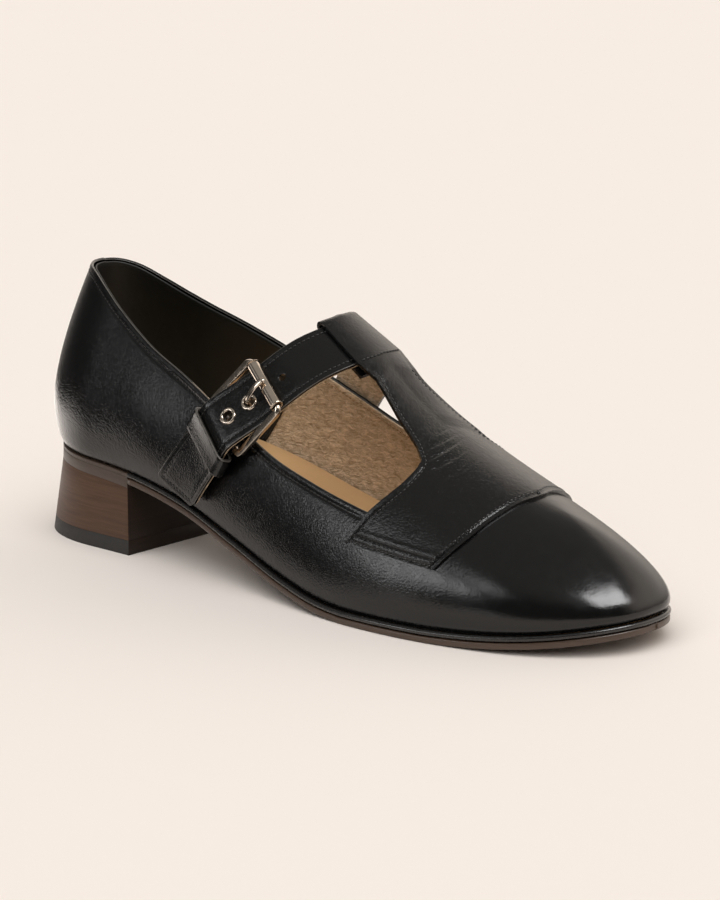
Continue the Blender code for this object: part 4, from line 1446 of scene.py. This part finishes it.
def make_tab():
    path = [(a, PIVOT_LIFT - TAB_FOLD) for a in np.linspace(TAB_RETURN, PIVOT_AT, 6)]
    path += list(arc((PIVOT_AT, PIVOT_LIFT), TAB_FOLD, 180 + LOOP_BEND, 180 - LOOP_BEND, 9))
    path += [(a, float(tab_lift(a))) for a in np.linspace(PIVOT_AT, TAB_LIFT["along"][-1], 30)]
    half = TAB_WIDTH / 2
    slot = TAB_SLOT / 2
    sides = np.concatenate([np.linspace(-half, -slot, TAB_COLUMNS), np.linspace(slot, half, TAB_COLUMNS)])
    along, lift = np.array(path).T
    points = strap_point(along[:, None], sides[None, :], lift[:, None])
    faces = grid_faces(len(path), len(sides), keep=lambda i, j: i >= TAB_SLOT_ROWS or j != TAB_COLUMNS - 1)
    made = piece("tab_leather", points, faces, BLACK_LEATHER, "black_leather", ("buckle_tab",))
    thicken(made, TAB_THICK, 1.0, TAB_ROUND, 2)
    settle(made)


# buckle and eyelets

FRAME_CORNER = 1.6 * MM
CORNER_STEPS = 9
SIDE_STEPS = 14
# half width and half height of the frame's bars, and how much they change on the roller's pin
FRAME_HALVES = np.array([1.15, 0.8]) * MM
PIN_CHANGE = np.array([-0.1, 0.25]) * MM
PIN_END = 0.1
PIN_BLEND = 0.06
FRAME_SQUARE = 7.0
PIN_SQUARE = 2.0
ROLLER_LIP = 0.3 * MM
# the same for the prong at its eye, and how much it loses towards its tip
PRONG_HALVES = np.array([1.15, 0.62]) * MM
PRONG_TAPER = np.array([0.25, 0.08]) * MM
PRONG_TIP = 0.03
PRONG_BLUNT = 0.02
PRONG_EYE_ARC = (-160, 60)
PRONG_SQUARE = 3.0
EYELET_DROP = 0.1 * MM
EYELET_WALL = 0.3 * MM
EYELET_CROWN = 0.55 * MM


def frame_path():
    """Distance along the strap and to its side, around the frame with its rounded corners."""
    ends = []
    corners = ((ROLLER_AT, 1, 180), (PIVOT_AT, 1, 90), (PIVOT_AT, -1, 0), (ROLLER_AT, -1, 270))
    for along, way, start in corners:
        inward = FRAME_CORNER if along == ROLLER_AT else -FRAME_CORNER
        middle = (along + inward, way * (FRAME_HALF_WIDTH - FRAME_CORNER))
        ends.append(arc(middle, FRAME_CORNER, start, start - 90, CORNER_STEPS))
    path = []
    for corner, following in zip(ends, ends[1:] + ends[:1]):
        step = np.linspace(0, 1, SIDE_STEPS)[1:-1, None]
        path += [corner, corner[-1] + (following[0] - corner[-1]) * step]
    return np.concatenate(path).T


def make_frame():
    along, side = frame_path()
    share = (along - ROLLER_AT) / (PIVOT_AT - ROLLER_AT)
    ends = np.array([-1, 1]) * FRAME_HALF_WIDTH
    front = strap_point(ROLLER_AT, ends, ROLLER_LIFT)
    rear = strap_point(PIVOT_AT, ends, PIVOT_LIFT)
    over = (side / FRAME_HALF_WIDTH + 1)[:, None] / 2
    points = front[0] + over * (front[1] - front[0])
    points = points + share[:, None] * (rear[0] + over * (rear[1] - rear[0]) - points)
    plane = np.cross(rear.mean(0) - front.mean(0), front[1] - front[0])
    plane = plane * np.sign(plane @ strap_frame(np.array(ROLLER_AT))[2])
    pin = np.clip((PIN_END - share) / PIN_BLEND, 0, 1)
    halves = FRAME_HALVES + pin[:, None] * PIN_CHANGE
    loops = sweep(points, unit(plane), halves, FRAME_SQUARE - (FRAME_SQUARE - PIN_SQUARE) * pin, True, 32)
    tube("buckle_bars", loops, True, GOLD_METAL, "pale_gold_metal", ("buckle_frame",))


def make_roller():
    point, ahead, normal, across = strap_frame(np.array(ROLLER_AT))
    middle = point + ROLLER_LIFT * normal
    angle = circle_steps(48)[:, None]
    circle = np.cos(angle) * ahead + np.sin(angle) * normal
    half = ROLLER_LENGTH / 2
    bore = BAR_RADIUS + GAP
    profile = list(arc((ROLLER_RADIUS - ROLLER_LIP, ROLLER_LIP - half), ROLLER_LIP, 0, -90, 5))
    profile += [(radius, -side) for radius, side in profile[::-1]]
    profile += [(bore, half), (bore, -half)]
    loops = np.stack([middle + radius * circle + side * across for radius, side in profile])
    made = tube("roller_tube", loops, True, GOLD_METAL, "pale_gold_metal", ("buckle_roller",))
    made.data.set_sharp_from_angle(angle=SHARP_ANGLE)


def make_prong():
    path = list(arc((PIVOT_AT, PIVOT_LIFT), PRONG_EYE, *PRONG_EYE_ARC, 9))
    path += list(zip(PRONG["along"], PRONG["lift"]))
    corners = np.arange(len(path))
    along, lift = [smooth(np.linspace(0, corners[-1], 90), corners, line) for line in np.array(path).T]
    points = strap_point(along, 0.0, lift)
    share = np.linspace(0, 1, len(points))[:, None]
    tip = np.sqrt(np.clip((1 - share) / PRONG_TIP, PRONG_BLUNT, 1))
    halves = (PRONG_HALVES - PRONG_TAPER * share) * tip
    ahead = unit(np.gradient(points, axis=0))
    loops = sweep(points, np.cross(ahead, strap_frame(along)[3]), halves, PRONG_SQUARE, False, 16)
    tube("prong", loops, False, GOLD_METAL, "pale_gold_metal", ("buckle_prong",))


def make_eyelets():
    top = STRAP_THICK + LAYER_GAP
    middle = (EYELET_FLANGE + EYELET_BORE) / 2
    half = (EYELET_FLANGE - EYELET_BORE) / 2
    outer = EYELET_BORE + EYELET_WALL
    profile = [(EYELET_BORE, -EYELET_DROP), (outer, -EYELET_DROP), (outer, top)]
    for a in np.linspace(0, 180, 9) * DEGREE:
        profile.append((middle + half * math.cos(a), top + EYELET_CROWN * math.sin(a)))
    angle = circle_steps(40)[:, None]
    for name, place in EYELETS.items():
        origin, ahead, normal, across = eyelet_frame(place)
        circle = np.cos(angle) * ahead + np.sin(angle) * across
        loops = np.stack([origin + radius * circle + height * normal for radius, height in profile])
        made = tube(name + "_ring", loops, True, GOLD_METAL, "pale_gold_metal", (name,))
        made.data.set_sharp_from_angle(angle=SHARP_ANGLE)

        def in_bore(face):
            away = np.array(face.center) + CENTRE - origin
            return np.linalg.norm(away - (away @ normal) * normal) < EYELET_BORE + LAYER_GAP

        # the faces inside the bore get the dark brown: painted shade inside the hole
        paint(made, PAINTED_SHADE_BROWN, in_bore)


# floor, light and camera

EYE = (583.8 * MM, -651.61 * MM, 245.51 * MM)
AIM = (36.1 * MM, -29.3 * MM, 52.6 * MM)
LENS = 113.0
SENSOR = 36.0
FLOOR_SIZE = 16.0
FLOOR_COLOUR = (0.905, 0.845, 0.80, 1)
FLOOR_ROUGHNESS = 0.9
# outline of the floor that the leather mirrors, brighter behind the heel; past it the room is dark
MIRRORED_FLOOR = (
    (-0.36, 0.13), (-0.36, -0.12), (-0.30, -0.125), (-0.235, -0.118), (-0.19, -0.108), (-0.165, -0.098),
    (-0.125, -0.078), (-0.085, -0.069), (-0.038, -0.060), (-0.004, -0.063), (0.0, -0.1), (-0.06, -0.28),
    (-0.25, -1.05), (0.1, -1.05), (0.2, -0.10), (0.22, 0.13),
)
MIRRORED_RISE = 0.2 * MM
HEEL_GLOW = 1.6
GLOW_FULL = -250.0 * MM
GLOW_END = -150.0 * MM
BACKDROP_AT = 88.0
# cosine of the angle off the backdrop's middle at which it is at its full brightness
BACKDROP_FULL = 0.55
BACKDROP_COLOUR = (1.25, 1.12, 1.0, 1)
# the backdrop's share low down, and the slopes of view between which it grows to its full share
BACKDROP_LOW = 0.28
BACKDROP_RISE = (-0.15, 0.36)
ROOM_COLOUR = (0.055, 0.0535, 0.052, 1)
CEILING_COLOUR = (0.30, 0.29, 0.275, 1)
CEILING_RISE = (0.54, 0.82)
# overhead light that only shows in matt surfaces
OVERHEAD_AT = (-62, 58)
OVERHEAD_STRENGTH = 2.38
OVERHEAD_ANGLE = 75 * DEGREE
OVERHEAD_COLOUR = (1.0, 0.985, 0.965)
# soft boxes that only show in the gloss: direction, radiance, size at SOFT_BOX_AWAY, and roll
SOFT_BOX_AWAY = 1.7
SOFT_BOXES = {
    "front_box": (0, 49, 8.6, (1.13, 0.66), 0),
    "side_strip": (-113, 17, 3.7, (0.95, 0.32), 41),
    "side_strip_low": (-135, -1, 0.15, (0.36, 0.32), 41),
    "side_strip_high": (-93, 36, 1.6, (0.4, 0.36), 41),
    "side_fill": (-136, 25, 0.25, (0.45, 0.6), 0),
    "low_card": (-92, -2, 0.7, (0.42, 0.38), 0),
    "low_card_back": (-120, -3, 0.4, (0.36, 0.26), 30),
}


def hide_from(thing, *rays):
    """Keeps a thing out of the sight of some kinds of rays."""
    for ray in rays:
        setattr(thing, "visible_" + ray, False)


def floor_material(name, **values):
    matt = {"Base_Color": FLOOR_COLOUR, "Roughness": FLOOR_ROUGHNESS, "Specular_IOR_Level": 0.0}
    return new_material(name, **matt, **values)


def make_floor():
    bpy.ops.mesh.primitive_plane_add(size=FLOOR_SIZE, location=(0, 0, 0))
    floor = bpy.context.object
    floor.name = "floor"
    floor.data.materials.append(floor_material("pale_floor")[0])
    hide_from(floor, "glossy", "shadow")


def make_mirrored_floor():
    """Floor that only shows in reflections."""
    flat = bpy.data.meshes.new("floor_in_reflections")
    flat.from_pydata([(x, y, MIRRORED_RISE) for x, y in MIRRORED_FLOOR], [], [range(len(MIRRORED_FLOOR))])
    glowing, tree, shader = floor_material("mirrored_floor", Emission_Color=FLOOR_COLOUR)
    ahead = add(tree, "SeparateXYZ", Vector=place_of(tree)).outputs["X"]
    glow = spread(tree, ahead, GLOW_FULL, GLOW_END, HEEL_GLOW, 0.0)
    feed(tree, shader.inputs["Emission Strength"], glow)
    flat.materials.append(glowing)
    made = new_object("floor_in_reflections", flat)
    hide_from(made, "camera", "diffuse", "shadow")


def make_room():
    """Dark room with a bright backdrop on one side and a ceiling."""
    world = bpy.data.worlds.new("studio")
    bpy.context.scene.world = world
    world.use_nodes = True
    tree = world.node_tree
    direction = add(tree, "TexCoord").outputs["Generated"]
    slope = add(tree, "SeparateXYZ", Vector=direction).outputs["Z"]
    facing = add(tree, "VectorMath", operation="DOT_PRODUCT")
    feed(tree, facing.inputs[0], direction)
    feed(tree, facing.inputs[1], toward(BACKDROP_AT, 0, 1.0))
    behind = spread(tree, facing.outputs["Value"], 0.0, BACKDROP_FULL, kind="SMOOTHSTEP")
    rise = spread(tree, slope, *BACKDROP_RISE, BACKDROP_LOW, 1.0, "SMOOTHSTEP")
    share = add(tree, "Math", operation="MULTIPLY")
    feed(tree, share.inputs[0], behind)
    feed(tree, share.inputs[1], rise)
    wall = mix(tree, share.outputs[0], ROOM_COLOUR, BACKDROP_COLOUR)
    height = spread(tree, slope, *CEILING_RISE, kind="SMOOTHSTEP")
    room = mix(tree, height, wall, CEILING_COLOUR)
    feed(tree, tree.nodes["Background"].inputs["Color"], room)


def toward(azimuth, elevation, distance):
    flat = math.cos(elevation * DEGREE) * distance
    height = math.sin(elevation * DEGREE) * distance
    return Vector((flat * math.cos(azimuth * DEGREE), flat * math.sin(azimuth * DEGREE), height))


def make_light(name, kind, azimuth, elevation, energy, roll=0):
    lamp = bpy.data.lights.new(name, kind)
    lamp.energy = energy
    made = new_object(name, lamp)
    made.location = toward(azimuth, elevation, SOFT_BOX_AWAY)
    aimed = made.location.to_track_quat("Z", "Y")
    made.rotation_euler = (aimed @ Quaternion((0, 0, 1), roll * DEGREE)).to_euler()
    return made


def make_lights():
    overhead = make_light("overhead", "SUN", *OVERHEAD_AT, OVERHEAD_STRENGTH)
    overhead.data.color = OVERHEAD_COLOUR
    overhead.data.angle = OVERHEAD_ANGLE
    hide_from(overhead, "glossy")
    for name, (azimuth, elevation, radiance, (wide, high), roll) in SOFT_BOXES.items():
        box = make_light(name, "AREA", azimuth, elevation, 4 * radiance * wide * high, roll)
        box.data.shape = "RECTANGLE"
        box.data.size = wide
        box.data.size_y = high
        hide_from(box, "diffuse")


def make_camera():
    lens = bpy.data.cameras.new("camera")
    lens.lens = LENS
    lens.sensor_width = SENSOR
    made = new_object("camera", lens)
    made.location = EYE
    made.rotation_euler = (Vector(AIM) - Vector(EYE)).to_track_quat("-Z", "Y").to_euler()
    bpy.context.scene.camera = made


make_upper()
make_upper_stitches()
make_linings()
make_lining_stitches()
make_welt()
make_sole()
make_sock()
make_heel()
make_saddle()
make_saddle_stitches()
make_strap()
make_strap_stitches()
make_keeper()
make_tab()
make_frame()
make_roller()
make_prong()
make_eyelets()
make_floor()
make_mirrored_floor()
make_room()
make_lights()
make_camera()
bpy.context.scene.view_settings.view_transform = "Standard"
